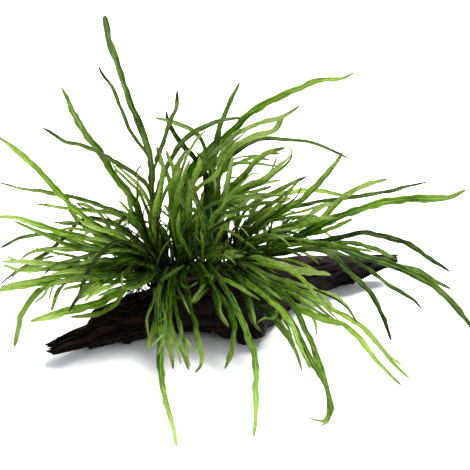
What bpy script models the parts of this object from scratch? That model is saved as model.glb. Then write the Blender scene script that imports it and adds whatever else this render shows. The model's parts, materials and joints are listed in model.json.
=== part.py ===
"""Java fern growing on a piece of driftwood: wood, rhizomes and forked fronds, each a closed solid.

The frame: +Z is up, +X runs to the right along the longest extent, +Y runs back, and the origin is the
flat sole of the wood's front foot. Frond routes are drawn as seen from the front, on a picture
470 units wide, and given depth by how far back each frond reaches.
"""

import math

import bmesh
import bpy
import numpy as np
from mathutils import Vector
from mathutils.bvhtree import BVHTree

# ---------------------------------------------------------------- driving dimensions

MM = 0.001

# The picture that the fronds are drawn on.
PICTURE_UNIT = 0.64 * MM        # one picture unit at the front foot's distance
PICTURE_CENTRE = 235            # in both directions, in picture units
FOOT_ACROSS = 240               # where the origin lies on the picture
FOOT_DOWN = 345
VIEW_TILT = math.radians(25)    # the picture looks down on the object by this much
VIEW_DISTANCE = 900 * MM

# Driftwood: distance to the right, front edge, back edge, underside and top, all in millimetres.
WOOD_SECTIONS = [
    (-118, -25, -20, 7, 11),
    (-114, -27, -15, 5, 13),
    (-107, -22, -6, 4, 15),
    (-97, -14, 4, 1, 16),
    (-94, -12, 9, 1, 20),
    (-76, -4, 26, 2, 23),
    (-58, 2, 34, 4, 27),
    (-39, 3, 44, 3, 34),
    (-22, 0, 52, 2, 39),
    (-10, -5, 56, 1.5, 39),
    (0, -8, 59, 0, 39),
    (8, -2, 62, 1, 37),
    (17, 8, 66, 1, 35),
    (22, 20, 69, 5, 33),
    (30, 32, 73, 6, 30),
    (44, 46, 80, 6, 26),
    (65, 62, 89, 4, 23),
    (84, 74, 95, 8, 20),
    (100, 83, 99, 12, 19),
    (108, 86, 96, 15, 19),
]
WOOD_RINGS = 36
WOOD_SIDES = 20
RIDGE_HEIGHT = 1.3 * MM         # lengthwise grain ridges
SWELL_HEIGHT = 1.2 * MM         # slower rises and hollows along the wood
RIDGES_FADE = 9 * MM            # on wood of less than this half thickness
SIDE_ROUNDNESS = 0.75           # below 1, a section is squarer than an ellipse
TOP_ROUNDNESS = 0.7
TORN_RINGS = 2.5                # how many rings of each end are torn
SPLINTER = 4.5 * MM             # how far the torn ends stick out and in
# Feet: right, back, radius and how far the underside is drawn down, in millimetres.
WOOD_FEET = [(0, 3, 12, 14), (-92, 0, 10, 6), (68, 80, 9, 8), (8, 48, 14, 8)]

# Rhizomes: the axis from end to end (right, back, up) in millimetres.
RHIZOME_RADIUS = 3.5 * MM
RHIZOME_POINTS = 9
RHIZOME_WAIST = 0.92            # every second point is this much slimmer
RHIZOME_END = 0.6               # and the ends are rounded down to this
RHIZOMES = {
    "left": [(-72, 23, 31.5), (-62, 26, 34), (-48, 30, 38.5), (-34, 32, 41.5)],
    "front": [(-56, 13, 34), (-38, 14, 39.5), (-18, 15, 44.5), (0, 17, 45)],
    "middle": [(-38, 44, 43), (-24, 43, 46), (-8, 45, 46), (6, 48, 44)],
    "right": [(-8, 30, 43.4), (6, 32, 41.6), (20, 37, 38.8)],
}

# Fronds.
STALK_WIDTH = 1.7 * MM
STALK_THICKNESS = 1.3 * MM
BLADE_THICKNESS = 0.8 * MM
TIP_WIDTH = 0.9 * MM
STALK_RISE = 2.5 * MM           # a stalk leaves its rhizome squarely for this far
GAP = 0.9 * MM                  # between the middle of a stalk's end and its rhizome
SAMPLE_STEP = 3 * MM            # along a route, when the fronds are kept apart
ROW_STEP = 21 * MM              # along a straight route, in the solid
ROW_TURN = math.radians(30)     # a row is added for each such bend
FORK_SHORTEST = 6 * MM          # the stretch of a blade's edge that a lobe grows from
FORK_LONGEST = 26 * MM
FORK_APART = 2 * MM             # between two such stretches; closer ends are made one
FORK_FREE = 6                   # samples of a lobe that may lie close to its own blade
STALK_END = 0.05                # shares of the frond's length where its stalk starts to widen,
BLADE_START = 0.30              # where the blade has its full width,
TAPER_START = 0.7               # and where it starts to narrow
FLOOR_CLEARANCE = 1.6 * MM
WOOD_CLEARANCE = 3.0 * MM
REACH_SHARE = 0.36              # of a blade's width, kept clear on each side of its middle
REACH_EXTRA = 0.35 * MM
LIGHT_PULL = 0.15               # how soon a blade's face turns to the light, per sample
HELD_SAMPLES = 4                # at a stalk's foot, spaced by where it leaves the rhizome
FAR_BACK = 300 * MM             # behind everything, on a line of sight
NO_LIMIT = -1.0                 # nearer than this always holds
APART_ENOUGH = 0.2 * MM         # what may be left over once the fronds are kept apart

# ---------------------------------------------------------------- frond routes

# Each frond: the rhizome it grows from, how far along that, blade width in mm, and how far back its
# tip reaches in mm. Its route and its lobes' routes are picture units, from the base to the tip; a
# lobe starts where its route meets the blade, and its own number is how much further back it goes.
FRONDS = {}


def frond(name, rhizome, along, width, tip_back, route, *lobes):
    FRONDS["frond_" + name] = (rhizome, along, width, tip_back, route, lobes)


# Tall fronds at the top left and in the middle.
frond("top_1", "left", 0.58, 4.2, 62,
      [(157, 250), (154, 225), (152, 190), (151, 160), (141.5, 130), (128.5, 100), (119, 70), (111.5, 48),
       (107, 30), (105, 15)],
      (2.5, 8, [(150, 157), (143, 148), (130, 131), (123, 114), (112, 87), (103, 75), (98.5, 66)]),
      (2.8, -12, [(152, 172), (163, 142), (170, 121), (176, 107), (177.5, 90)]),
      (3.2, -6, [(153, 206), (163, 176), (172, 157), (181, 143.5), (196, 131), (220, 121), (245, 118)]),
      (2.9, -10, [(154, 199), (147, 185), (137, 175.5), (121, 165), (102, 154), (82, 145), (65, 142),
                  (52, 133), (42, 128)]))
frond("top_2", "middle", 0.28, 3.6, 64,
      [(202, 238), (205, 225), (206, 200), (205, 174), (196, 160), (182, 144), (170, 126), (166, 111)])
frond("top_3", "middle", 0.36, 3.8, 62,
      [(206, 238), (208, 218), (210, 190), (214, 158), (222, 122), (231, 100), (240, 82)],
      (2.8, 6, [(211, 180), (205, 148), (193, 131), (175, 123), (155, 117.5)]))
frond("top_4", "middle", 0.04, 4.4, 86,
      [(188, 238), (181, 222), (179, 200), (185, 180), (193, 165), (210, 149), (230, 132), (250, 114),
       (272, 101), (298, 89), (320, 80), (340, 79), (355, 72)],
      (2.8, -10, [(180, 206), (190, 184), (204, 172), (214, 158), (222, 144)]))
frond("top_5", "left", 0.80, 4.4, 44,
      [(175, 246), (172, 225), (172, 200), (174, 180), (178, 165), (187, 150)],
      (3.0, -8, [(172, 206), (182, 186), (196, 168), (215, 145)]),
      (2.8, 6, [(173, 192), (168, 176), (160, 160), (157, 146)]))
frond("top_6", "left", 0.94, 4.4, 18,
      [(184, 248), (186, 228), (189, 205), (193, 185), (198, 168), (203, 150)],
      (3.2, 10, [(188, 216), (181, 190), (173, 168), (166, 150)]),
      (2.8, -6, [(191, 200), (200, 186), (212, 178), (222, 166)]))
frond("top_7", "left", 0.44, 3.4, 12,
      [(156, 248), (158, 215), (160, 190), (163, 170), (160, 150)],
      (2.4, -8, [(158, 206), (167, 188), (176, 176), (180, 162)]))
frond("top_8", "middle", 0.60, 3.6, 26,
      [(221, 238), (222, 222), (225, 198), (229, 176), (233, 156)],
      (3.0, -6, [(222, 220), (219, 198), (216, 182), (212, 166)]))
frond("top_9", "front", 0.62, 4.0, 0,
      [(204, 256), (206, 236), (203, 214), (194, 196), (188, 178)],
      (3.0, -10, [(206, 230), (215, 214), (224, 204), (229, 188)]),
      (2.6, -6, [(204, 218), (196, 212), (184, 206), (176, 192)]))

# Fronds reaching left.
frond("left_1", "left", 0.37, 4.8, 40,
      [(149, 252), (141, 222), (131, 197), (115, 177), (100.5, 154), (85, 134), (74, 114), (66, 96),
       (61, 87)])
frond("left_2", "left", 0.30, 4.3, 16,
      [(147, 252), (125, 240), (100, 228), (80, 214), (62, 197), (40, 172), (20, 153), (4, 141),
       (-6, 134)],
      (3.6, 6, [(126, 243), (104, 238), (82, 223), (67, 207)]),
      (2.4, 6, [(112, 235), (104, 219), (92, 208), (76, 203)]))
frond("left_3", "left", 0.51, 2.8, 58,
      [(150, 246), (138, 228), (122, 214), (95, 204), (80, 199), (52, 193), (24, 189), (0, 183)],
      (2.4, -16, [(132, 222), (116, 214), (96, 211), (65, 208), (36, 204)]))
frond("left_4", "left", 0.15, 4.3, -6,
      [(138, 256), (105, 244), (90, 239.5), (60, 232.5), (30, 222), (12, 217.5), (-10, 218)],
      (2.8, -12, [(114, 247), (94, 251), (66, 244), (44, 235), (28, 227), (14, 221)]))
frond("left_5", "left", 0.08, 4.1, -8,
      [(130, 268), (90, 267), (60, 264.5), (30, 263), (2, 261.5)],
      (3.2, -12, [(86, 266), (52, 269), (22, 271), (2, 265)]))
frond("left_6", "left", 0.22, 2.8, 36,
      [(140, 259), (115, 251), (88, 246), (64, 238), (45, 234), (22, 238), (0, 248)],
      (2.2, 10, [(100, 248), (72, 250), (42, 249), (22, 257)]))
frond("left_7", "left", 0.02, 4.3, -22,
      [(128, 274), (100, 276.5), (60, 282), (30, 285.5), (-8, 292)],
      (4.0, -16, [(47, 284), (32, 298.5), (22, 316), (14, 347)]),
      (2.8, -10, [(66, 281), (57.5, 293), (51, 311)]),
      (2.6, -12, [(106, 275), (88, 286), (69, 311)]))
frond("left_8", "front", 0.03, 5.4, -34,
      [(156, 273), (141, 280), (121, 291), (101, 302), (76, 309), (50, 316.5), (30, 321.5)],
      (3.0, -8, [(127, 288), (114, 305), (96, 314.5), (70, 317.5)]),
      (2.6, 8, [(138, 281), (112, 282), (90, 284), (62, 290)]))
frond("left_9", "front", 0.10, 2.8, 4,
      [(160, 270), (140, 263), (120, 259), (99, 262), (82, 269), (66, 274)],
      (2.2, -10, [(126, 259), (104, 270), (90, 284), (80, 298)]))

# Fronds reaching right, the high ones first.
frond("right_1", "middle", 0.52, 4.1, 40,
      [(215, 238), (214, 215), (217, 185), (224, 162), (238, 144), (255, 136), (275, 130), (284, 117)],
      (3.2, -10, [(218, 180), (222, 154), (235, 135), (256, 124.5), (281, 117), (300, 106)]))
frond("right_2", "middle", 0.13, 3.1, 100,
      [(193, 238), (196, 222), (204, 194), (220, 167), (240, 149), (262, 139), (288, 140), (315, 144),
       (348, 158)],
      (2.4, 10, [(212, 180), (232, 166), (252, 158), (270, 160)]))
frond("right_3", "middle", 0.69, 4.2, 22,
      [(228, 238), (223, 224), (221, 208), (226, 193), (240, 179), (252, 166), (262, 157), (272, 151),
       (285, 147.5)],
      (3.3, -10, [(222, 203), (236, 191), (250, 184.5), (264, 179.5), (279, 167), (288, 159), (292, 153)]))
frond("right_4", "middle", 0.20, 2.6, 62,
      [(196, 238), (199, 225), (207, 198), (218, 174), (232, 165), (250, 163), (281, 167)])
frond("right_5", "middle", 0.76, 3.4, 8,
      [(234, 238), (238, 226), (244, 214), (253, 205), (270, 195), (290, 185), (307, 176)],
      (2.8, 8, [(234, 230), (240, 206), (254, 193), (272, 186)]))
frond("right_6", "middle", 0.97, 4.2, 36,
      [(244, 238), (258, 230), (276, 215), (294, 205), (313, 190), (330, 171), (343, 152)],
      (2.8, 8, [(254, 236), (262, 216), (276, 202), (290, 198)]))
frond("right_7", "middle", 0.44, 3.9, 76,
      [(211, 238), (214, 228), (224, 210), (245, 199), (280, 194), (315, 191), (346, 196)],
      (2.6, 8, [(228, 207), (246, 190), (262, 184), (282, 180)]))
frond("right_8", "right", 0.12, 4.2, 66,
      [(238, 250), (255, 240), (275, 232), (300, 226), (322, 218), (343, 197), (362, 186), (388, 179)],
      (2.6, 8, [(296, 228), (318, 208), (338, 203)]))
frond("right_9", "middle", 0.86, 3.2, 78,
      [(236, 238), (246, 232), (262, 219), (285, 210), (315, 203), (345, 199), (375, 194), (405, 187),
       (427, 182)],
      (2.2, 6, [(256, 224), (280, 219), (300, 217), (318, 216)]))
frond("right_10", "right", 0.40, 5.4, 52,
      [(246, 252), (268, 246), (295, 238), (318, 227), (340, 217), (365, 208.5), (390, 201.5), (420, 199),
       (448, 197), (466, 190)],
      (3.0, -8, [(304, 234), (325, 231), (353, 219)]),
      (2.6, 10, [(272, 245), (292, 226), (312, 214), (326, 206)]))
frond("right_11", "right", 0.62, 3.7, 70,
      [(254, 248), (272, 245), (295, 242), (318, 242), (340, 237), (362, 233), (388, 237), (410, 245),
       (430, 259), (450, 272)])
frond("right_12", "right", 0.96, 5.1, 4,
      [(266, 252), (290, 251), (315, 248), (338, 248), (362, 256), (388, 263), (408, 272), (433, 286),
       (452, 303), (470, 325), (477, 337)],
      (3.2, 14, [(322, 248), (349, 243), (378, 250), (398, 261)]),
      (2.8, 16, [(388, 263), (415, 269), (432, 279), (451, 289)]))
frond("right_13", "right", 0.80, 3.8, -28,
      [(258, 256), (282, 254), (306, 249), (328, 253), (350, 274), (370, 293), (383, 317), (391.5, 341)],
      (3.2, 14, [(310, 249), (345, 256), (368, 270), (390, 286), (411, 298), (422, 309)]))
frond("right_14", "front", 0.99, 4.2, 6,
      [(241, 261), (252, 257), (264, 259), (280, 264), (305, 271), (331, 275)])

# Fronds hanging over the front of the wood, right to left.
frond("front_1", "right", 0.50, 3.5, -50,
      [(256, 256), (266, 266), (280, 279), (296, 289), (312, 296), (335, 311), (355, 322), (375, 340),
       (395, 365), (410, 379)],
      (1.8, 10, [(300, 290), (328, 293), (345, 304), (358, 323)]))
frond("front_2", "right", 0.22, 3.8, -60,
      [(240, 256), (252, 270), (264, 283), (276, 294), (290, 303), (318, 317), (342, 324), (360, 340),
       (378, 362), (401, 385)],
      (2.0, -4, [(290, 303), (308, 313), (315, 323), (317, 336)]),
      (2.6, 6, [(262, 281), (284, 290), (302, 299), (320, 308)]))
frond("front_3", "front", 0.93, 3.5, -88,
      [(234, 262), (256, 278), (280, 292), (296, 309), (307, 332), (316, 354), (324, 378), (329, 402),
       (327, 419), (318, 421), (309, 418)])
frond("front_4", "front", 0.87, 3.3, -92,
      [(228, 262), (246, 281), (270, 299), (289, 318), (302, 341), (313, 363), (326, 386), (333, 408),
       (329, 419)])
frond("front_5", "front", 0.77, 2.8, -50,
      [(221, 262), (236, 282), (252, 300), (268, 314), (282, 330), (295, 351), (302, 372)],
      (3.0, 4, [(256, 304), (273, 315), (285, 330), (295, 346)]))
frond("front_6", "front", 0.57, 4.0, -112,
      [(208, 263), (221, 281), (232.5, 301), (241.5, 322), (252.5, 350), (256, 380), (256, 410), (254, 437)])
frond("front_7", "front", 0.69, 2.8, -30,
      [(213, 262), (228, 275), (241, 289), (248, 306), (253, 321), (265, 336)])
frond("front_8", "front", 0.465, 3.6, -44,
      [(196, 263), (207, 280), (220, 296), (230, 311), (234, 332), (232, 352), (225, 369)],
      (2.6, 8, [(213, 288), (216, 303), (221, 315), (229, 327)]))
frond("front_9", "front", 0.33, 3.2, -48,
      [(183, 266), (186, 284), (190, 304), (196, 328), (201, 352), (201, 365), (195, 373)])
frond("front_10", "front", 0.16, 4.0, -118,
      [(167, 267), (160, 288), (158, 318), (159.5, 340), (160.5, 365), (163, 392), (171, 420), (176.5, 447)],
      (2.4, -6, [(157, 312), (151, 334), (147, 352)]),
      (1.8, 6, [(160, 284), (153, 302), (147, 320), (149, 341)]))
frond("front_11", "front", 0.24, 3.6, -44,
      [(175, 267), (171, 294), (169.5, 320), (170, 346), (173, 369)],
      (2.2, 4, [(168, 318), (175, 336), (182, 352), (189, 370)]),
      (2.2, 4, [(170, 290), (176, 310), (181, 332), (188, 354)]))
frond("front_12", "front", 0.395, 3.0, -12,
      [(190, 262), (198, 272), (202, 284), (199, 294), (189, 304)])

# Fronds at the back, which the front ones hide.
frond("back_1", "middle", 0.09, 4.2, 158,
      [(190, 238), (187, 226), (179, 216), (171, 224), (165, 238)])
frond("back_2", "middle", 0.82, 4.4, 152,
      [(236, 238), (250, 224), (266, 212), (280, 218), (290, 234)],
      (3.2, 4, [(254, 220), (262, 226), (268, 238)]))
frond("back_3", "right", 0.88, 4.2, 160,
      [(262, 250), (282, 238), (302, 230), (320, 230), (334, 240)],
      (3.0, -8, [(290, 234), (306, 238), (316, 247)]))
frond("back_4", "left", 0.66, 4.2, 150,
      [(160, 252), (150, 232), (134, 222), (122, 228), (112, 242)],
      (3.0, -6, [(146, 228), (138, 234), (132, 247)]))
frond("back_5", "middle", 0.48, 3.8, 136,
      [(212, 238), (214, 220), (222, 204), (230, 210), (236, 228)])
frond("back_6", "left", 0.18, 3.6, 128,
      [(136, 256), (118, 236), (100, 228), (84, 236), (76, 248)])
frond("back_7", "middle", 0.32, 4.0, 150,
      [(204, 238), (203, 222), (199, 206), (199, 220), (202, 236)],
      (2.8, -6, [(201, 213), (193, 208), (186, 222)]))
frond("back_8", "middle", 0.65, 4.2, 144,
      [(226, 238), (229, 220), (238, 205), (250, 212), (260, 230)])
frond("back_9", "left", 0.47, 3.8, 142,
      [(152, 250), (142, 234), (124, 221), (108, 226), (96, 244)])


# ---------------------------------------------------------------- picture and space

FOOT_U = (FOOT_ACROSS - PICTURE_CENTRE) * PICTURE_UNIT
FOOT_V = (PICTURE_CENTRE - FOOT_DOWN) * PICTURE_UNIT
SIN = math.sin(VIEW_TILT)
COS = math.cos(VIEW_TILT)


def near_for_back(down, back):
    """How far towards the viewer a picture point lies, given how far back it is in space."""
    v = (PICTURE_CENTRE - down) * PICTURE_UNIT
    return ((v - FOOT_V) * SIN - back) / (COS + v * SIN / VIEW_DISTANCE)


def to_space(across, down, near):
    """The point in space for a picture point and its distance towards the viewer."""
    shrink = (VIEW_DISTANCE - near) / VIEW_DISTANCE
    u = (across - PICTURE_CENTRE) * PICTURE_UNIT * shrink - FOOT_U
    v = (PICTURE_CENTRE - down) * PICTURE_UNIT * shrink - FOOT_V
    return np.stack([u, v * SIN - near * COS, v * COS + near * SIN], axis=-1)


def to_picture(point):
    """The picture point and the distance towards the viewer of a point in space."""
    x, y, z = point
    near = z * SIN - y * COS
    shrink = (VIEW_DISTANCE - near) / VIEW_DISTANCE * PICTURE_UNIT
    across = PICTURE_CENTRE + (x + FOOT_U) / shrink
    down = PICTURE_CENTRE - (y * SIN + z * COS + FOOT_V) / shrink
    return across, down, near


def smooth_route(points):
    """A smooth curve through the points, read off at even steps of its length in space."""
    points = np.asarray(points, dtype=float)
    ends = [2 * points[0] - points[1], *points, 2 * points[-1] - points[-2]]
    fine = []
    for a, b, c, d in zip(ends, ends[1:], ends[2:], ends[3:]):
        for t in np.linspace(0, 1, 16, endpoint=False):
            fine.append(0.5 * (2 * b + (c - a) * t + (2 * a - 5 * b + 4 * c - d) * t ** 2
                               + (3 * b - a - 3 * c + d) * t ** 3))
    fine = np.array(fine + [points[-1]])
    space = to_space(*fine.T)
    travelled = np.r_[0, np.cumsum(np.linalg.norm(np.diff(space, axis=0), axis=1))]
    count = max(4, round(travelled[-1] / SAMPLE_STEP))
    wanted = np.linspace(0, travelled[-1], count + 1)
    return np.stack([np.interp(wanted, travelled, fine[:, k]) for k in range(3)], axis=-1)


# ---------------------------------------------------------------- scene and materials

def clear_scene():
    for thing in list(bpy.data.objects):
        bpy.data.objects.remove(thing, do_unlink=True)


def new_collection(name):
    group = bpy.data.collections.new(name)
    bpy.context.scene.collection.children.link(group)
    return group


def new_material(name, colour, roughness):
    material = bpy.data.materials.new(name)
    material.use_nodes = True
    shader = material.node_tree.nodes["Principled BSDF"]
    shader.inputs["Base Color"].default_value = (*colour, 1)
    shader.inputs["Roughness"].default_value = roughness
    shader.inputs["Metallic"].default_value = 0
    return material


def add_mesh(name, verts, faces, material, group):
    mesh = bpy.data.meshes.new(name)
    mesh.from_pydata([tuple(map(float, v)) for v in verts], [], faces)
    mesh.materials.append(material)
    thing = bpy.data.objects.new(name, mesh)
    group.objects.link(thing)
    return thing


# ---------------------------------------------------------------- driftwood

def wave(seed, value):
    """A smooth seeded wave between about -1 and 1."""
    return math.sin(value * 1.0 + seed * 2.4) * 0.6 + math.sin(value * 2.3 + seed * 5.1) * 0.4


def foot_drop(x, y):
    """How far the underside is drawn down at a place, by the feet there."""
    drop = 0
    for foot_x, foot_y, radius, depth in WOOD_FEET:
        away = math.hypot(x - foot_x * MM, y - foot_y * MM) / (radius * MM)
        drop = max(drop, depth * MM * math.exp(-away ** 4))
    return drop


def wood_ring(x, front, back, bottom, top, ring):
    """One cross-section: a flattened, ridged loop, in order round the grain."""
    middle, half_width = (front + back) / 2, (back - front) / 2
    centre, half_height = (bottom + top) / 2, (top - bottom) / 2
    thin = min(1, half_height / RIDGES_FADE)
    end = min(ring, WOOD_RINGS - 1 - ring)
    loop = []
    for k in range(WOOD_SIDES):
        angle = 2 * math.pi * k / WOOD_SIDES
        c, s = math.cos(angle), math.sin(angle)
        ridge = (1 if k % 2 else -1) * (0.55 + 0.45 * wave(k, ring * 0.35)) * RIDGE_HEIGHT * thin
        ridge += SWELL_HEIGHT * thin * wave(k + 30, ring * 0.5)
        y = middle + (half_width + ridge) * math.copysign(abs(c) ** SIDE_ROUNDNESS, c)
        z = centre + (half_height + ridge) * math.copysign(abs(s) ** TOP_ROUNDNESS, s)
        if s < 0:
            z -= foot_drop(x, y) * -s
        torn = SPLINTER * wave(k * 1.7, 3) * max(0, 1 - end / TORN_RINGS)
        loop.append((x + torn, y, max(0, z)))
    return loop


def make_wood(material, group):
    stations = np.array(WOOD_SECTIONS, dtype=float) * MM
    xs = stations[:, 0]
    verts = []
    for ring in range(WOOD_RINGS):
        x = xs[0] + (xs[-1] - xs[0]) * ring / (WOOD_RINGS - 1)
        sizes = [float(np.interp(x, xs, stations[:, k])) for k in range(1, 5)]
        verts += wood_ring(x, *sizes, ring)
    faces = []
    for ring in range(WOOD_RINGS - 1):
        a, b = ring * WOOD_SIDES, (ring + 1) * WOOD_SIDES
        for k in range(WOOD_SIDES):
            n = (k + 1) % WOOD_SIDES
            faces.append((a + k, b + k, b + n, a + n))
    faces.append(tuple(range(WOOD_SIDES)))
    last = (WOOD_RINGS - 1) * WOOD_SIDES
    faces.append(tuple(range(last + WOOD_SIDES - 1, last - 1, -1)))
    wood = add_mesh("driftwood", verts, faces, material, group)
    face_outwards(wood.data)
    return wood


def face_outwards(mesh):
    work = bmesh.new()
    work.from_mesh(mesh)
    bmesh.ops.triangulate(work, faces=work.faces)
    bmesh.ops.recalc_face_normals(work, faces=work.faces)
    work.to_mesh(mesh)
    work.free()


# ---------------------------------------------------------------- rhizomes

def rhizome_axis(name):
    return np.array(RHIZOMES[name], dtype=float) * MM


def point_along(axis, fraction):
    """The place at a fraction of a polyline's length, and the direction there."""
    steps = np.diff(axis, axis=0)
    lengths = np.linalg.norm(steps, axis=1)
    travelled = np.r_[0, np.cumsum(lengths)]
    want = fraction * travelled[-1]
    place = np.array([np.interp(want, travelled, axis[:, k]) for k in range(3)])
    k = min(len(steps) - 1, int(np.searchsorted(travelled, want, side="right")) - 1)
    return place, steps[k] / lengths[k]


def make_rhizome(name, material, group):
    axis = rhizome_axis(name)
    curve = bpy.data.curves.new("rhizome_" + name, "CURVE")
    curve.dimensions = "3D"
    curve.bevel_depth = RHIZOME_RADIUS
    curve.bevel_resolution = 1
    curve.use_fill_caps = True
    spline = curve.splines.new("POLY")
    last = RHIZOME_POINTS - 1
    spline.points.add(last)
    for k in range(RHIZOME_POINTS):
        place, _ = point_along(axis, k / last)
        spline.points[k].co = (*place, 1)
        spline.points[k].radius = RHIZOME_WAIST if k % 2 else 1
        if k in (0, last):
            spline.points[k].radius = RHIZOME_END
    curve.materials.append(material)
    thing = bpy.data.objects.new("rhizome_" + name, curve)
    group.objects.link(thing)
    return thing


# ---------------------------------------------------------------- frond strands

class Strand:
    """One blade or lobe: its route on the picture with its nearness, and its width."""

    def __init__(self, name, route, width, parent=None, joint=0, side=0):
        self.name = name
        self.route = route
        self.width = width
        self.parent = parent
        self.joint = joint
        self.side = side

    def space(self):
        return to_space(*self.route.T)

    def free_of_parent(self):
        """Which samples lie past the fork, where a lobe must pass clear of its own blade."""
        free = np.ones(len(self.route), dtype=bool)
        if self.parent is not None:
            free[:FORK_FREE] = False
        return free

    def length(self):
        return float(np.linalg.norm(np.diff(self.space(), axis=0), axis=1).sum())

    def width_at(self, fraction):
        """Blade width: a thin stalk that widens into the blade, then a long taper."""
        fraction = np.asarray(fraction, dtype=float)
        taper = np.clip((1 - fraction) / (1 - TAPER_START), 0, 1) ** 0.8
        width = TIP_WIDTH + (self.width * MM - TIP_WIDTH) * taper
        if self.parent is None:
            widen = np.clip((fraction - STALK_END) / (BLADE_START - STALK_END), 0, 1)
            widen = widen * widen * (3 - 2 * widen)
            width = np.minimum(width, STALK_WIDTH + (self.width * MM - STALK_WIDTH) * widen)
        return width


def stalk_start(rhizome, along, towards):
    """Where a stalk leaves its rhizome, high on the side that faces the frond, and the next place."""
    place, direction = point_along(rhizome_axis(rhizome), along)
    out = towards - place
    out /= np.linalg.norm(out)
    out[2] += 0.3
    out -= direction * out.dot(direction)
    out /= np.linalg.norm(out)
    foot = place + out * (RHIZOME_RADIUS + GAP)
    return foot, foot + out * STALK_RISE


def main_strand(name):
    rhizome, along, width, tip_back, route, _ = FRONDS[name]
    place, _ = point_along(rhizome_axis(rhizome), along)
    start_back = place[1]
    flat = np.array(route, dtype=float)
    steps = np.linalg.norm(np.diff(np.vstack([to_picture(place)[:2], flat]), axis=0), axis=1)
    share = np.cumsum(steps) / steps.sum()
    backs = start_back + (tip_back * MM - start_back) * share
    nears = near_for_back(flat[:, 1], backs)
    first = to_space(flat[0, 0], flat[0, 1], nears[0])
    start = [to_picture(place) for place in stalk_start(rhizome, along, first)]
    points = np.vstack([start, np.column_stack([flat, nears])])
    return Strand(name, smooth_route(points), width)


def lobe_strand(parent, width, further_back, route):
    flat = np.array(route, dtype=float)
    gaps = np.linalg.norm(parent.route[:, :2] - flat[0], axis=1)
    joint = int(np.clip(np.argmin(gaps), 3, len(parent.route) - 4))
    here = parent.route[joint]
    ahead = parent.route[joint + 2, :2] - parent.route[joint - 2, :2]
    aside = flat[1] - here[:2]
    side = -1 if ahead[0] * aside[1] - ahead[1] * aside[0] < 0 else 1
    start_back = to_space(*here)[1]
    steps = np.linalg.norm(np.diff(flat, axis=0), axis=1)
    share = np.cumsum(steps) / steps.sum()
    nears = near_for_back(flat[1:, 1], start_back + further_back * MM * share)
    points = np.vstack([here, np.column_stack([flat[1:], nears])])
    return Strand(parent.name, smooth_route(points), width, parent, joint, side)


def all_strands():
    strands = []
    for name, (_, _, _, _, _, lobes) in FRONDS.items():
        blade = main_strand(name)
        strands.append(blade)
        strands += [lobe_strand(blade, *lobe) for lobe in lobes]
    return strands


# ---------------------------------------------------------------- keeping fronds apart

def nearest_allowed(strand, wood_tree):
    """The least nearness at each sample, so that the frond clears the floor and hangs before the wood."""
    eye = to_space(PICTURE_CENTRE, PICTURE_CENTRE, VIEW_DISTANCE)
    least = np.full(len(strand.route), NO_LIMIT)
    for k, (across, down, _) in enumerate(strand.route):
        ray = to_space(across, down, -FAR_BACK) - eye
        floor_share = (FLOOR_CLEARANCE - eye[2]) / ray[2]
        least[k] = VIEW_DISTANCE - floor_share * (VIEW_DISTANCE + FAR_BACK)
        hit, _, _, _ = wood_tree.ray_cast(Vector(eye), Vector(ray).normalized())
        if hit is not None and not strand.name.startswith("frond_back"):
            least[k] = max(least[k], to_picture(hit)[2] + WOOD_CLEARANCE)
    if strand.parent is None:
        least[:HELD_SAMPLES + 1] = NO_LIMIT
    return least


def rhizome_samples():
    """Places along every rhizome, on the picture with their nearness."""
    places = []
    for name in RHIZOMES:
        for share in np.linspace(0, 1, 17):
            place, _ = point_along(rhizome_axis(name), share)
            places.append(to_picture(place))
    return np.array(places)


def close_pairs(route, reach, own, family, free, held):
    """Pairs of samples that cross or run close on the picture, and how far apart they must lie."""
    apart = np.linalg.norm(route[:, None, :2] - route[None, :, :2], axis=2) * PICTURE_UNIT
    need = reach[:, None] + reach[None, :]
    kin = family[:, None] == family[None, :]
    later = own[:, None] < own[None, :]
    both_held = held[:, None] & held[None, :]
    close = (apart < need) & later & ~both_held & (~kin | (free[:, None] & free[None, :]))
    one, two = np.nonzero(close)
    return one, two, np.sqrt(need[one, two] ** 2 - apart[one, two] ** 2)


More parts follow.
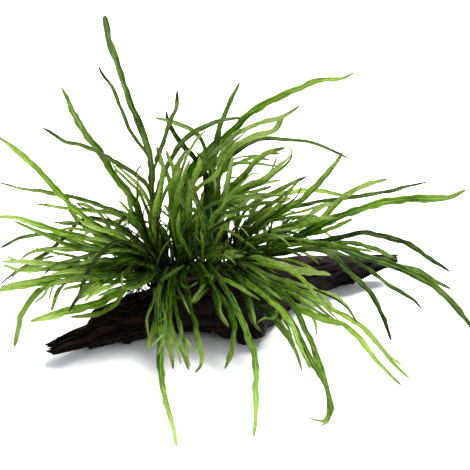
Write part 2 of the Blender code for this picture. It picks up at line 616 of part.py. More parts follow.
def keep_apart(strands, wood_tree, rounds=300):
    """Move samples along the line of sight only, until crossing blades pass clear of each other."""
    names = list(FRONDS)
    root = rhizome_samples()
    own = np.concatenate([np.full(len(s.route), k) for k, s in enumerate(strands)]
                         + [np.full(len(root), len(strands))])
    starts = np.cumsum([0] + [len(s.route) for s in strands])
    route = np.vstack([s.route for s in strands] + [root])
    least = np.concatenate([nearest_allowed(s, wood_tree) for s in strands] + [np.full(len(root), NO_LIMIT)])
    reach = np.concatenate([
        REACH_SHARE * s.width_at(np.linspace(0, 1, len(s.route))) + REACH_EXTRA for s in strands]
        + [np.full(len(root), RHIZOME_RADIUS)])
    family = np.concatenate([np.full(len(s.route), names.index(s.name)) for s in strands]
                            + [np.full(len(root), -1)])
    free = np.concatenate([s.free_of_parent() for s in strands] + [np.zeros(len(root), dtype=bool)])
    held = np.zeros(len(route), dtype=bool)
    held[starts[-1]:] = True
    for k, strand in enumerate(strands):
        if strand.parent is None:
            held[starts[k]:starts[k] + HELD_SAMPLES] = True
    one, two, gap = close_pairs(route, reach, own, family, free, held)

    # Which of two strands passes in front is settled once, from where they were drawn.
    count = len(strands) + 1
    pair = own[one] * count + own[two]
    order = np.zeros(count ** 2)
    np.add.at(order, pair, route[one, 2] - route[two, 2])
    sign = np.where(order[pair] >= 0, 1.0, -1.0)

    first = route[:, 2].copy()
    shift = np.zeros(len(route))
    for turn in range(rounds):
        near = first + shift
        short = gap - sign * (near[one] - near[two])
        bad = short > 0
        push = np.zeros(len(route))
        pushes = np.zeros(len(route))
        np.add.at(push, one[bad], sign[bad] * short[bad])
        np.add.at(push, two[bad], -sign[bad] * short[bad])
        np.add.at(pushes, one[bad], 1)
        np.add.at(pushes, two[bad], 1)
        shift += 0.5 * push / np.maximum(pushes, 1)
        shift = np.maximum(shift, least - first)
        shift[starts[-1]:] = 0
        for k, strand in enumerate(strands):
            part = shift[starts[k]:starts[k + 1]]
            if strand.parent is None:
                part[0] = 0
            else:
                part[0] = shift[starts[strands.index(strand.parent)] + strand.joint]
            if turn < rounds - 3:
                part[1:-1] = 0.25 * part[:-2] + 0.5 * part[1:-1] + 0.25 * part[2:]
                part[-1] = 0.5 * part[-1] + 0.5 * part[-2]
    route[:, 2] = first + shift
    for k, strand in enumerate(strands):
        strand.route = route[starts[k]:starts[k + 1]]
    return int((short > APART_ENOUGH).sum())


# ---------------------------------------------------------------- frond solids

def facing(strand):
    """The way the upper faces of a frond's blades tend to look."""
    if strand.name.startswith("frond_back"):
        return np.array([0.0, 0.7, 0.75])
    return np.array([0.0, -0.75, 0.65])


def unit(vector):
    return vector / np.linalg.norm(vector)


def upper_faces(strand, ahead):
    """The upper face's direction at each sample: carried along the blade, and drawn to the light."""
    wish = facing(strand)
    ups = np.zeros_like(ahead)
    if strand.parent is None:
        start = int(np.abs(ahead @ wish).argmin())
        ups[start] = unit(wish - ahead[start] * ahead[start].dot(wish))
    else:
        start = 0
        above = upper_faces(strand.parent, directions(strand.parent))[strand.joint]
        ups[0] = unit(above - ahead[0] * ahead[0].dot(above))
    order = [(k, k + 1) for k in range(start, len(ahead) - 1)]
    order += [(k, k - 1) for k in range(start, 0, -1)]
    for here, there in order:
        up = ups[here] + LIGHT_PULL * (wish - ahead[there] * ahead[there].dot(wish))
        ups[there] = unit(up - ahead[there] * ahead[there].dot(up))
    return ups


def directions(strand):
    ahead = np.gradient(strand.space(), axis=0)
    return ahead / np.linalg.norm(ahead, axis=1)[:, None]


def strand_frames(strand, fractions):
    """Centre, sideways direction and upper-face direction at each fraction of the route."""
    space = strand.space()
    ahead = directions(strand)
    ups = upper_faces(strand, ahead)
    lengths = np.r_[0, np.cumsum(np.linalg.norm(np.diff(space, axis=0), axis=1))]
    lengths /= lengths[-1]
    read = [np.stack([np.interp(fractions, lengths, values[:, k]) for k in range(3)], axis=-1)
            for values in (space, ahead, ups)]
    sideways = np.cross(read[1], read[2])
    sideways /= np.linalg.norm(sideways, axis=1)[:, None]
    return read[0], sideways, read[2]


def fork_of(blade, lobe):
    """The stretch of the blade's edge that a lobe grows from, and where the lobe stands clear of it.

    The stretch is given as lengths along the blade; the clear place as a share of the lobe's route.
    """
    blade_space, lobe_space = blade.space(), lobe.space()
    step = blade.length() / (len(blade.route) - 1)
    half_blade = float(blade.width_at(lobe.joint / (len(blade.route) - 1))) / 2
    clear_by = half_blade + lobe.width * MM * 0.45
    away = [np.linalg.norm(blade_space - place, axis=1).min() for place in lobe_space]
    clear = next((k for k, gap in enumerate(away) if gap > clear_by), len(away) // 3)
    clear = int(np.clip(clear, 2, len(away) // 2))
    passed = np.linalg.norm(blade_space - lobe_space[clear], axis=1).argmin() - lobe.joint
    stretch = float(np.clip(passed * step, FORK_SHORTEST, FORK_LONGEST))
    low = lobe.joint * step - FORK_SHORTEST / 2
    return low, low + stretch, clear / (len(away) - 1)


def forks_of(blade, lobes):
    """All forks of a blade from the base up; on one side of it, no two share a stretch."""
    forks = sorted([*fork_of(blade, lobe), k] for k, lobe in enumerate(lobes))
    free_from = {-1: FORK_SHORTEST, 1: FORK_SHORTEST}
    for fork in forks:
        side = lobes[fork[3]].side
        up = max(0, free_from[side] - fork[0])
        fork[0] += up
        fork[1] += up
        free_from[side] = fork[1] + FORK_APART
    # Ends of stretches that nearly meet are made to meet.
    ends = sorted(place for fork in forks for place in fork[:2])
    for fork in forks:
        for k in (0, 1):
            fork[k] = next(place for place in ends if abs(place - fork[k]) < FORK_APART)
    return forks


def even_rows(strand, start=0.0):
    """Lengths along a strand, from a share of it onwards: closer together where it bends."""
    space = strand.space()
    ahead = directions(strand)
    steps = np.linalg.norm(np.diff(space, axis=0), axis=1)
    bends = np.arccos(np.clip(np.sum(ahead[1:] * ahead[:-1], axis=1), -1, 1))
    travelled = np.r_[0, np.cumsum(steps)]
    effort = np.r_[0, np.cumsum(steps / ROW_STEP + bends / ROW_TURN)]
    first = np.interp(start * travelled[-1], travelled, effort)
    count = max(2, math.ceil(effort[-1] - first))
    return list(np.interp(np.linspace(first, effort[-1], count + 1), effort, travelled))


def row_places(strand, forks):
    """Lengths along a blade where its solid has rows: even ones, and a pair at each fork."""
    rows = even_rows(strand)
    ends = {place for fork in forks for place in fork[:2]}
    rows = [r for r in rows if all(abs(r - place) > 1.5 * FORK_APART for place in ends)]
    return sorted(ends.union(rows))


def thickness_shares(strand, fractions, widths):
    """Thickness at each row as a share of the stalk's: full there, less in the blade and at the tip."""
    slimming = np.clip((widths - STALK_WIDTH) / (strand.width * MM - STALK_WIDTH), 0, 1)
    if strand.parent is not None:
        slimming[:] = 1
    slimming[np.asarray(fractions) > TAPER_START - 0.15] = 1
    shares = 1 + (BLADE_THICKNESS / STALK_THICKNESS - 1) * slimming
    return shares * np.clip(widths / STALK_WIDTH, 0.5, 1)


def add_rows(strand, fractions, verts, thick):
    """Two points a row, on the left and right edge. Returns their numbers."""
    centre, sideways, _ = strand_frames(strand, np.array(fractions))
    widths = strand.width_at(fractions)
    shares = thickness_shares(strand, fractions, widths)
    rows = []
    for k in range(len(fractions)):
        half = sideways[k] * widths[k] / 2
        rows.append((len(verts), len(verts) + 1))
        verts += [centre[k] - half, centre[k] + half]
        thick += [shares[k]] * 2
    return rows


def frond_sheet(blade, lobes):
    """A frond as one sheet: the blade's rows, and each lobe grown from a stretch of the blade's edge."""
    verts, thick, faces = [], [], []
    forks = forks_of(blade, lobes)
    places = row_places(blade, forks)
    rows = add_rows(blade, np.array(places) / blade.length(), verts, thick)
    for low, high in zip(rows, rows[1:]):
        faces.append((low[0], low[1], high[1], high[0]))
    for low, high, clear, k in forks:
        lobe = lobes[k]
        edge = 1 if lobe.side > 0 else 0
        root = [row[edge] for row in rows[places.index(low):places.index(high) + 1]]
        lobe_places = np.array(even_rows(lobe, clear)) / lobe.length()
        lobe_rows = add_rows(lobe, lobe_places, verts, thick)
        across = root[::-1] if edge == 1 else root
        faces.append((*across, lobe_rows[0][1], lobe_rows[0][0]))
        for near, far in zip(lobe_rows, lobe_rows[1:]):
            faces.append((near[0], near[1], far[1], far[0]))
    return verts, thick, faces


def make_frond(name, strands, material, group):
    blade = strands[0]
    verts, thick, faces = frond_sheet(blade, strands[1:])
    thing = add_mesh(name, verts, faces, material, group)
    factors = thing.vertex_groups.new(name="thickness")
    for k, share in enumerate(thick):
        factors.add([k], float(share), "REPLACE")
    solid = thing.modifiers.new("thickness", "SOLIDIFY")
    solid.thickness = STALK_THICKNESS
    solid.offset = 0
    solid.vertex_group = "thickness"
    solid.thickness_vertex_group = 0
    return thing


# ---------------------------------------------------------------- the whole object

def main():
    clear_scene()
    group = new_collection("java_fern_on_driftwood")
    bark = new_material("dark driftwood", (0.035, 0.024, 0.022), 0.8)
    root = new_material("rhizome", (0.06, 0.04, 0.02), 0.85)
    leaf = new_material("fern leaf", (0.10, 0.26, 0.04), 0.45)

    wood = make_wood(bark, group)
    wood_tree = BVHTree.FromPolygons([v.co for v in wood.data.vertices],
                                     [tuple(f.vertices) for f in wood.data.polygons])
    for name in RHIZOMES:
        make_rhizome(name, root, group)

    strands = all_strands()
    print("samples still too close:", keep_apart(strands, wood_tree))
    for name in FRONDS:
        make_frond(name, [s for s in strands if s.name == name], leaf, group)


main()
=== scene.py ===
"""The looks of the java fern on driftwood: wood, roots, rhizomes, forked fronds and young leaves.

Every length is in metres, in the frame of the solids: +Z up, +X to the right, +Y back.
"""

import json
import math

import bpy
import numpy as np
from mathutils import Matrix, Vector
from mathutils.bvhtree import BVHTree

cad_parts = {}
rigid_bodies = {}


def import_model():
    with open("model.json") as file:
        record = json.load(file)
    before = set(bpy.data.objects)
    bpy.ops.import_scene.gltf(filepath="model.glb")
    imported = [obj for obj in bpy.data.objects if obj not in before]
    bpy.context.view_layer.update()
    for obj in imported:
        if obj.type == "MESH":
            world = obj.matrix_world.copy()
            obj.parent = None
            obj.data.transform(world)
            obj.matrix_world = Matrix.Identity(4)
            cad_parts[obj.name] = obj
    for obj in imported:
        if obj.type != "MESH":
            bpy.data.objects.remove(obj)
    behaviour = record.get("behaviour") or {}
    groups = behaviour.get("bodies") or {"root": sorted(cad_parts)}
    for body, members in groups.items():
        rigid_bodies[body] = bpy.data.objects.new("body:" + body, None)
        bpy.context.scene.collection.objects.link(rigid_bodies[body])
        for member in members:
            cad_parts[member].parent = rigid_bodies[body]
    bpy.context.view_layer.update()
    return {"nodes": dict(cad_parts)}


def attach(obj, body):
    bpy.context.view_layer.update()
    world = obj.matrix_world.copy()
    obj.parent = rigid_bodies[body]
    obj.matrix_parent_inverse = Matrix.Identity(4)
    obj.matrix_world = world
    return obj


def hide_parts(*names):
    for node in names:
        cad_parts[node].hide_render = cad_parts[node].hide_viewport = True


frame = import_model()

# ---------------------------------------------------------------- driving dimensions

MM = 0.001

# The picture that the fronds are drawn on.
PICTURE_UNIT = 0.64 * MM        # one picture unit at the front foot's distance
PICTURE_CENTRE = 235            # in both directions, in picture units
FOOT_ACROSS = 240               # where the origin lies on the picture
FOOT_DOWN = 345
VIEW_TILT = math.radians(25)    # the picture looks down on the object by this much
VIEW_DISTANCE = 900 * MM

# Driftwood: distance to the right, front edge, back edge, underside and top, all in millimetres.
WOOD_SECTIONS = [
    (-118, -25, -20, 7, 11),
    (-114, -27, -15, 5, 13),
    (-107, -22, -6, 4, 15),
    (-97, -14, 4, 1, 16),
    (-94, -12, 9, 1, 20),
    (-76, -4, 26, 2, 23),
    (-58, 2, 34, 4, 27),
    (-39, 3, 44, 3, 34),
    (-22, 0, 52, 2, 39),
    (-10, -5, 56, 1.5, 39),
    (0, -8, 59, 0, 39),
    (8, -2, 62, 1, 37),
    (17, 8, 66, 1, 35),
    (22, 20, 69, 5, 33),
    (30, 32, 73, 6, 30),
    (44, 46, 80, 6, 26),
    (65, 62, 89, 4, 23),
    (84, 74, 95, 8, 20),
    (100, 83, 99, 12, 19),
    (108, 86, 96, 15, 19),
]
WOOD_RINGS = 36                 # of points along the solid wood
WOOD_SIDES = 20                 # points in each
RIDGE_HEIGHT = 1.3 * MM         # lengthwise grain ridges
SWELL_HEIGHT = 1.2 * MM         # slower rises and hollows along the wood
RIDGES_FADE = 9 * MM            # on wood of less than this half thickness
SIDE_ROUNDNESS = 0.75           # below 1, a section is squarer than an ellipse
TOP_ROUNDNESS = 0.7
TORN_RINGS = 2.5                # how many rings of each end are torn
SPLINTER = 4.5 * MM             # how far the torn ends stick out and in
# Feet: right, back, radius and how far the underside is drawn down, in millimetres.
WOOD_FEET = [(0, 3, 12, 14), (-92, 0, 10, 6), (68, 80, 9, 8), (8, 48, 14, 8)]

# Rhizomes: the axis from end to end (right, back, up) in millimetres.
RHIZOME_RADIUS = 3.5 * MM
RHIZOMES = {
    "left": [(-72, 23, 31.5), (-62, 26, 34), (-48, 30, 38.5), (-34, 32, 41.5)],
    "front": [(-56, 13, 34), (-38, 14, 39.5), (-18, 15, 44.5), (0, 17, 45)],
    "middle": [(-38, 44, 43), (-24, 43, 46), (-8, 45, 46), (6, 48, 44)],
    "right": [(-8, 30, 43.4), (6, 32, 41.6), (20, 37, 38.8)],
}

# Fronds.
STALK_WIDTH = 1.7 * MM
STALK_THICKNESS = 1.3 * MM
STALK_LEAN = 0.3                # how much a stalk's foot leans upwards
TIP_WIDTH = 0.9 * MM
TAPER_POWER = 0.8               # below 1, a blade stays wide for longer
STALK_RISE = 2.5 * MM           # a stalk leaves its rhizome squarely for this far
GAP = 0.9 * MM                  # between the middle of a stalk's end and its rhizome
CURVE_STEPS = 16                # points on a smooth curve for each drawn stretch
SAMPLE_STEP = 3 * MM            # along a route, when the fronds are kept apart
FEWEST_STEPS = 4
FORK_SHORTEST = 6 * MM          # the stretch of a blade's edge that a lobe grows from
FORK_LONGEST = 26 * MM
FORK_FREE = 6                   # samples of a lobe that may lie close to its own blade
FORK_MARGIN = 3                 # samples between a fork and either end of its blade
STALK_END = 0.05                # shares of the frond's length where its stalk starts to widen,
BLADE_START = 0.30              # where the blade has its full width,
TAPER_START = 0.7               # and where it starts to narrow
FLOOR_CLEARANCE = 1.6 * MM
WOOD_CLEARANCE = 3.0 * MM
REACH_SHARE = 0.36              # of a blade's width, kept clear on each side of its middle
REACH_EXTRA = 0.35 * MM
LIGHT_PULL = 0.15               # how soon a blade's face turns to the light, per sample
LIGHT_BEFORE = (0.0, -0.75, 0.65)       # where the upper faces of the fronds tend to look
LIGHT_BEHIND = (0.0, 0.7, 0.75)         # and those of the back fronds
HELD_SAMPLES = 4                # at a stalk's foot, spaced by where it leaves the rhizome
FAR_BACK = 300 * MM             # behind everything, on a line of sight
NO_LIMIT = -1.0                 # nearer than this always holds
FROND_ROUNDS = 300              # of moving the fronds apart, and then the small leaves
SMALL_ROUNDS = 120
UNSMOOTHED_ROUNDS = 3           # the last ones, which aren't smoothed along the fronds
RHIZOME_SAMPLES = 17            # places along a rhizome that fronds keep clear of

# ---------------------------------------------------------------- frond routes

# Each frond: the rhizome it grows from, how far along that, blade width in mm, and how far back its
# tip reaches in mm. Its route and its lobes' routes are picture units, from the base to the tip; a
# lobe starts where its route meets the blade, and its own number is how much further back it goes.
FRONDS = {}


def frond(name, rhizome, along, width, tip_back, route, *lobes):
    FRONDS["frond_" + name] = (rhizome, along, width, tip_back, route, lobes)


# Tall fronds at the top left and in the middle.
frond("top_1", "left", 0.58, 4.2, 62,
      [(157, 250), (154, 225), (152, 190), (151, 160), (141.5, 130), (128.5, 100), (119, 70), (111.5, 48),
       (107, 30), (105, 15)],
      (2.5, 8, [(150, 157), (143, 148), (130, 131), (123, 114), (112, 87), (103, 75), (98.5, 66)]),
      (2.8, -12, [(152, 172), (163, 142), (170, 121), (176, 107), (177.5, 90)]),
      (3.2, -6, [(153, 206), (163, 176), (172, 157), (181, 143.5), (196, 131), (220, 121), (245, 118)]),
      (2.9, -10, [(154, 199), (147, 185), (137, 175.5), (121, 165), (102, 154), (82, 145), (65, 142),
                  (52, 133), (42, 128)]))
frond("top_2", "middle", 0.28, 3.6, 64,
      [(202, 238), (205, 225), (206, 200), (205, 174), (196, 160), (182, 144), (170, 126), (166, 111)])
frond("top_3", "middle", 0.36, 3.8, 62,
      [(206, 238), (208, 218), (210, 190), (214, 158), (222, 122), (231, 100), (240, 82)],
      (2.8, 6, [(211, 180), (205, 148), (193, 131), (175, 123), (155, 117.5)]))
frond("top_4", "middle", 0.04, 4.4, 86,
      [(188, 238), (181, 222), (179, 200), (185, 180), (193, 165), (210, 149), (230, 132), (250, 114),
       (272, 101), (298, 89), (320, 80), (340, 79), (355, 72)],
      (2.8, -10, [(180, 206), (190, 184), (204, 172), (214, 158), (222, 144)]))
frond("top_5", "left", 0.80, 4.4, 44,
      [(175, 246), (172, 225), (172, 200), (174, 180), (178, 165), (187, 150)],
      (3.0, -8, [(172, 206), (182, 186), (196, 168), (215, 145)]),
      (2.8, 6, [(173, 192), (168, 176), (160, 160), (157, 146)]))
frond("top_6", "left", 0.94, 4.4, 18,
      [(184, 248), (186, 228), (189, 205), (193, 185), (198, 168), (203, 150)],
      (3.2, 10, [(188, 216), (181, 190), (173, 168), (166, 150)]),
      (2.8, -6, [(191, 200), (200, 186), (212, 178), (222, 166)]))
frond("top_7", "left", 0.44, 3.4, 12,
      [(156, 248), (158, 215), (160, 190), (163, 170), (160, 150)],
      (2.4, -8, [(158, 206), (167, 188), (176, 176), (180, 162)]))
frond("top_8", "middle", 0.60, 3.6, 26,
      [(221, 238), (222, 222), (225, 198), (229, 176), (233, 156)],
      (3.0, -6, [(222, 220), (219, 198), (216, 182), (212, 166)]))
frond("top_9", "front", 0.62, 4.0, 0,
      [(204, 256), (206, 236), (203, 214), (194, 196), (188, 178)],
      (3.0, -10, [(206, 230), (215, 214), (224, 204), (229, 188)]),
      (2.6, -6, [(204, 218), (196, 212), (184, 206), (176, 192)]))

# Fronds reaching left.
frond("left_1", "left", 0.37, 4.8, 40,
      [(149, 252), (141, 222), (131, 197), (115, 177), (100.5, 154), (85, 134), (74, 114), (66, 96),
       (61, 87)])
frond("left_2", "left", 0.30, 4.3, 16,
      [(147, 252), (125, 240), (100, 228), (80, 214), (62, 197), (40, 172), (20, 153), (4, 141),
       (-6, 134)],
      (3.6, 6, [(126, 243), (104, 238), (82, 223), (67, 207)]),
      (2.4, 6, [(112, 235), (104, 219), (92, 208), (76, 203)]))
frond("left_3", "left", 0.51, 2.8, 58,
      [(150, 246), (138, 228), (122, 214), (95, 204), (80, 199), (52, 193), (24, 189), (0, 183)],
      (2.4, -16, [(132, 222), (116, 214), (96, 211), (65, 208), (36, 204)]))
frond("left_4", "left", 0.15, 4.3, -6,
      [(138, 256), (105, 244), (90, 239.5), (60, 232.5), (30, 222), (12, 217.5), (-10, 218)],
      (2.8, -12, [(114, 247), (94, 251), (66, 244), (44, 235), (28, 227), (14, 221)]))
frond("left_5", "left", 0.08, 4.1, -8,
      [(130, 268), (90, 267), (60, 264.5), (30, 263), (2, 261.5)],
      (3.2, -12, [(86, 266), (52, 269), (22, 271), (2, 265)]))
frond("left_6", "left", 0.22, 2.8, 36,
      [(140, 259), (115, 251), (88, 246), (64, 238), (45, 234), (22, 238), (0, 248)],
      (2.2, 10, [(100, 248), (72, 250), (42, 249), (22, 257)]))
frond("left_7", "left", 0.02, 4.3, -22,
      [(128, 274), (100, 276.5), (60, 282), (30, 285.5), (-8, 292)],
      (4.0, -16, [(47, 284), (32, 298.5), (22, 316), (14, 347)]),
      (2.8, -10, [(66, 281), (57.5, 293), (51, 311)]),
      (2.6, -12, [(106, 275), (88, 286), (69, 311)]))
frond("left_8", "front", 0.03, 5.4, -34,
      [(156, 273), (141, 280), (121, 291), (101, 302), (76, 309), (50, 316.5), (30, 321.5)],
      (3.0, -8, [(127, 288), (114, 305), (96, 314.5), (70, 317.5)]),
      (2.6, 8, [(138, 281), (112, 282), (90, 284), (62, 290)]))
frond("left_9", "front", 0.10, 2.8, 4,
      [(160, 270), (140, 263), (120, 259), (99, 262), (82, 269), (66, 274)],
      (2.2, -10, [(126, 259), (104, 270), (90, 284), (80, 298)]))

# Fronds reaching right, the high ones first.
frond("right_1", "middle", 0.52, 4.1, 40,
      [(215, 238), (214, 215), (217, 185), (224, 162), (238, 144), (255, 136), (275, 130), (284, 117)],
      (3.2, -10, [(218, 180), (222, 154), (235, 135), (256, 124.5), (281, 117), (300, 106)]))
frond("right_2", "middle", 0.13, 3.1, 100,
      [(193, 238), (196, 222), (204, 194), (220, 167), (240, 149), (262, 139), (288, 140), (315, 144),
       (348, 158)],
      (2.4, 10, [(212, 180), (232, 166), (252, 158), (270, 160)]))
frond("right_3", "middle", 0.69, 4.2, 22,
      [(228, 238), (223, 224), (221, 208), (226, 193), (240, 179), (252, 166), (262, 157), (272, 151),
       (285, 147.5)],
      (3.3, -10, [(222, 203), (236, 191), (250, 184.5), (264, 179.5), (279, 167), (288, 159), (292, 153)]))
frond("right_4", "middle", 0.20, 2.6, 62,
      [(196, 238), (199, 225), (207, 198), (218, 174), (232, 165), (250, 163), (281, 167)])
frond("right_5", "middle", 0.76, 3.4, 8,
      [(234, 238), (238, 226), (244, 214), (253, 205), (270, 195), (290, 185), (307, 176)],
      (2.8, 8, [(234, 230), (240, 206), (254, 193), (272, 186)]))
frond("right_6", "middle", 0.97, 4.2, 36,
      [(244, 238), (258, 230), (276, 215), (294, 205), (313, 190), (330, 171), (343, 152)],
      (2.8, 8, [(254, 236), (262, 216), (276, 202), (290, 198)]))
frond("right_7", "middle", 0.44, 3.9, 76,
      [(211, 238), (214, 228), (224, 210), (245, 199), (280, 194), (315, 191), (346, 196)],
      (2.6, 8, [(228, 207), (246, 190), (262, 184), (282, 180)]))
frond("right_8", "right", 0.12, 4.2, 66,
      [(238, 250), (255, 240), (275, 232), (300, 226), (322, 218), (343, 197), (362, 186), (388, 179)],
      (2.6, 8, [(296, 228), (318, 208), (338, 203)]))
frond("right_9", "middle", 0.86, 3.2, 78,
      [(236, 238), (246, 232), (262, 219), (285, 210), (315, 203), (345, 199), (375, 194), (405, 187),
       (427, 182)],
      (2.2, 6, [(256, 224), (280, 219), (300, 217), (318, 216)]))
frond("right_10", "right", 0.40, 5.4, 52,
      [(246, 252), (268, 246), (295, 238), (318, 227), (340, 217), (365, 208.5), (390, 201.5), (420, 199),
       (448, 197), (466, 190)],
      (3.0, -8, [(304, 234), (325, 231), (353, 219)]),
      (2.6, 10, [(272, 245), (292, 226), (312, 214), (326, 206)]))
frond("right_11", "right", 0.62, 3.7, 70,
      [(254, 248), (272, 245), (295, 242), (318, 242), (340, 237), (362, 233), (388, 237), (410, 245),
       (430, 259), (450, 272)])
frond("right_12", "right", 0.96, 5.1, 4,
      [(266, 252), (290, 251), (315, 248), (338, 248), (362, 256), (388, 263), (408, 272), (433, 286),
       (452, 303), (470, 325), (477, 337)],
      (3.2, 14, [(322, 248), (349, 243), (378, 250), (398, 261)]),
      (2.8, 16, [(388, 263), (415, 269), (432, 279), (451, 289)]))
frond("right_13", "right", 0.80, 3.8, -28,
      [(258, 256), (282, 254), (306, 249), (328, 253), (350, 274), (370, 293), (383, 317), (391.5, 341)],
      (3.2, 14, [(310, 249), (345, 256), (368, 270), (390, 286), (411, 298), (422, 309)]))
frond("right_14", "front", 0.99, 4.2, 6,
      [(241, 261), (252, 257), (264, 259), (280, 264), (305, 271), (331, 275)])

# Fronds hanging over the front of the wood, right to left.
frond("front_1", "right", 0.50, 3.5, -50,
      [(256, 256), (266, 266), (280, 279), (296, 289), (312, 296), (335, 311), (355, 322), (375, 340),
       (395, 365), (410, 379)],
      (1.8, 10, [(300, 290), (328, 293), (345, 304), (358, 323)]))
frond("front_2", "right", 0.22, 3.8, -60,
      [(240, 256), (252, 270), (264, 283), (276, 294), (290, 303), (318, 317), (342, 324), (360, 340),
       (378, 362), (401, 385)],
      (2.0, -4, [(290, 303), (308, 313), (315, 323), (317, 336)]),
      (2.6, 6, [(262, 281), (284, 290), (302, 299), (320, 308)]))
frond("front_3", "front", 0.93, 3.5, -88,
      [(234, 262), (256, 278), (280, 292), (296, 309), (307, 332), (316, 354), (324, 378), (329, 402),
       (327, 419), (318, 421), (309, 418)])
frond("front_4", "front", 0.87, 3.3, -92,
      [(228, 262), (246, 281), (270, 299), (289, 318), (302, 341), (313, 363), (326, 386), (333, 408),
       (329, 419)])
frond("front_5", "front", 0.77, 2.8, -50,
      [(221, 262), (236, 282), (252, 300), (268, 314), (282, 330), (295, 351), (302, 372)],
      (3.0, 4, [(256, 304), (273, 315), (285, 330), (295, 346)]))
frond("front_6", "front", 0.57, 4.0, -112,
      [(208, 263), (221, 281), (232.5, 301), (241.5, 322), (252.5, 350), (256, 380), (256, 410),
       (254, 437)])
frond("front_7", "front", 0.69, 2.8, -30,
      [(213, 262), (228, 275), (241, 289), (248, 306), (253, 321), (265, 336)])
frond("front_8", "front", 0.465, 3.6, -44,
      [(196, 263), (207, 280), (220, 296), (230, 311), (234, 332), (232, 352), (225, 369)],
      (2.6, 8, [(213, 288), (216, 303), (221, 315), (229, 327)]))
frond("front_9", "front", 0.33, 3.2, -48,
      [(183, 266), (186, 284), (190, 304), (196, 328), (201, 352), (201, 365), (195, 373)])
frond("front_10", "front", 0.16, 4.0, -118,
      [(167, 267), (160, 288), (158, 318), (159.5, 340), (160.5, 365), (163, 392), (171, 420),
       (176.5, 447)],
      (2.4, -6, [(157, 312), (151, 334), (147, 352)]),
      (1.8, 6, [(160, 284), (153, 302), (147, 320), (149, 341)]))
frond("front_11", "front", 0.24, 3.6, -44,
      [(175, 267), (171, 294), (169.5, 320), (170, 346), (173, 369)],
      (2.2, 4, [(168, 318), (175, 336), (182, 352), (189, 370)]),
      (2.2, 4, [(170, 290), (176, 310), (181, 332), (188, 354)]))
frond("front_12", "front", 0.395, 3.0, -12,
      [(190, 262), (198, 272), (202, 284), (199, 294), (189, 304)])

# Fronds at the back, which the front ones hide.
frond("back_1", "middle", 0.09, 4.2, 158,
      [(190, 238), (187, 226), (179, 216), (171, 224), (165, 238)])
frond("back_2", "middle", 0.82, 4.4, 152,
      [(236, 238), (250, 224), (266, 212), (280, 218), (290, 234)],
      (3.2, 4, [(254, 220), (262, 226), (268, 238)]))
frond("back_3", "right", 0.88, 4.2, 160,
      [(262, 250), (282, 238), (302, 230), (320, 230), (334, 240)],
      (3.0, -8, [(290, 234), (306, 238), (316, 247)]))
frond("back_4", "left", 0.66, 4.2, 150,
      [(160, 252), (150, 232), (134, 222), (122, 228), (112, 242)],
      (3.0, -6, [(146, 228), (138, 234), (132, 247)]))
frond("back_5", "middle", 0.48, 3.8, 136,
      [(212, 238), (214, 220), (222, 204), (230, 210), (236, 228)])
frond("back_6", "left", 0.18, 3.6, 128,
      [(136, 256), (118, 236), (100, 228), (84, 236), (76, 248)])
frond("back_7", "middle", 0.32, 4.0, 150,
      [(204, 238), (203, 222), (199, 206), (199, 220), (202, 236)],
      (2.8, -6, [(201, 213), (193, 208), (186, 222)]))
frond("back_8", "middle", 0.65, 4.2, 144,
      [(226, 238), (229, 220), (238, 205), (250, 212), (260, 230)])
frond("back_9", "left", 0.47, 3.8, 142,
      [(152, 250), (142, 234), (124, 221), (108, 226), (96, 244)])


# ---------------------------------------------------------------- directions and curves

def unit(vector):
    return vector / np.linalg.norm(vector)


def units(rows):
    """The same for every row of an array."""
    return rows / np.linalg.norm(rows, axis=-1, keepdims=True)


def square_to(direction, vector):
    """The direction of the part of a vector that is square to another direction."""
    return unit(vector - direction * direction.dot(vector))


def eased(share):
    """A share from 0 to 1, made to start and end gently."""
    return share * share * (3 - 2 * share)


def travelled(points):
    """How far along its line each point lies."""
    return np.r_[0, np.cumsum(np.linalg.norm(np.diff(points, axis=0), axis=1))]


def catmull(points, places):
    """The smooth curve through evenly numbered points, read off at fractional numbers."""
    ends = np.concatenate([2 * points[:1] - points[1:2], points, 2 * points[-1:] - points[-2:-1]])
    k = np.clip(np.floor(places).astype(int), 0, len(points) - 2)
    t = (places - k).reshape(-1, *[1] * (points.ndim - 1))
    a, b, c, d = ends[k], ends[k + 1], ends[k + 2], ends[k + 3]
    return 0.5 * (2 * b + (c - a) * t + (2 * a - 5 * b + 4 * c - d) * t ** 2
                  + (3 * b - a - 3 * c + d) * t ** 3)


def seeded(*words):
    """Random numbers that are always the same for the same words."""
    return np.random.default_rng([sum(ord(letter) * (k + 1) for k, letter in enumerate(str(word)))
                                  for word in words])


def noise_line(rng, length, wavelength):
    """Smooth seeded noise between -1 and 1, as a function of length."""
    knots = rng.uniform(-1, 1, int(length / wavelength) + 6)

    def read(place):
        place = np.clip(place / wavelength, 0, len(knots) - 2.001)
        k = np.floor(place).astype(int)
        t = eased(place - k)
        return knots[k] * (1 - t) + knots[k + 1] * t
    return read


# ---------------------------------------------------------------- picture and space

FOOT_U = (FOOT_ACROSS - PICTURE_CENTRE) * PICTURE_UNIT
FOOT_V = (PICTURE_CENTRE - FOOT_DOWN) * PICTURE_UNIT
SIN = math.sin(VIEW_TILT)
COS = math.cos(VIEW_TILT)


def near_for_back(down, back):
    """How far towards the viewer a picture point lies, given how far back it is in space."""
    v = (PICTURE_CENTRE - down) * PICTURE_UNIT
    return ((v - FOOT_V) * SIN - back) / (COS + v * SIN / VIEW_DISTANCE)


def to_space(across, down, near):
    """The point in space for a picture point and its distance towards the viewer."""
    shrink = (VIEW_DISTANCE - near) / VIEW_DISTANCE
    u = (across - PICTURE_CENTRE) * PICTURE_UNIT * shrink - FOOT_U
    v = (PICTURE_CENTRE - down) * PICTURE_UNIT * shrink - FOOT_V
    return np.stack([u, v * SIN - near * COS, v * COS + near * SIN], axis=-1)


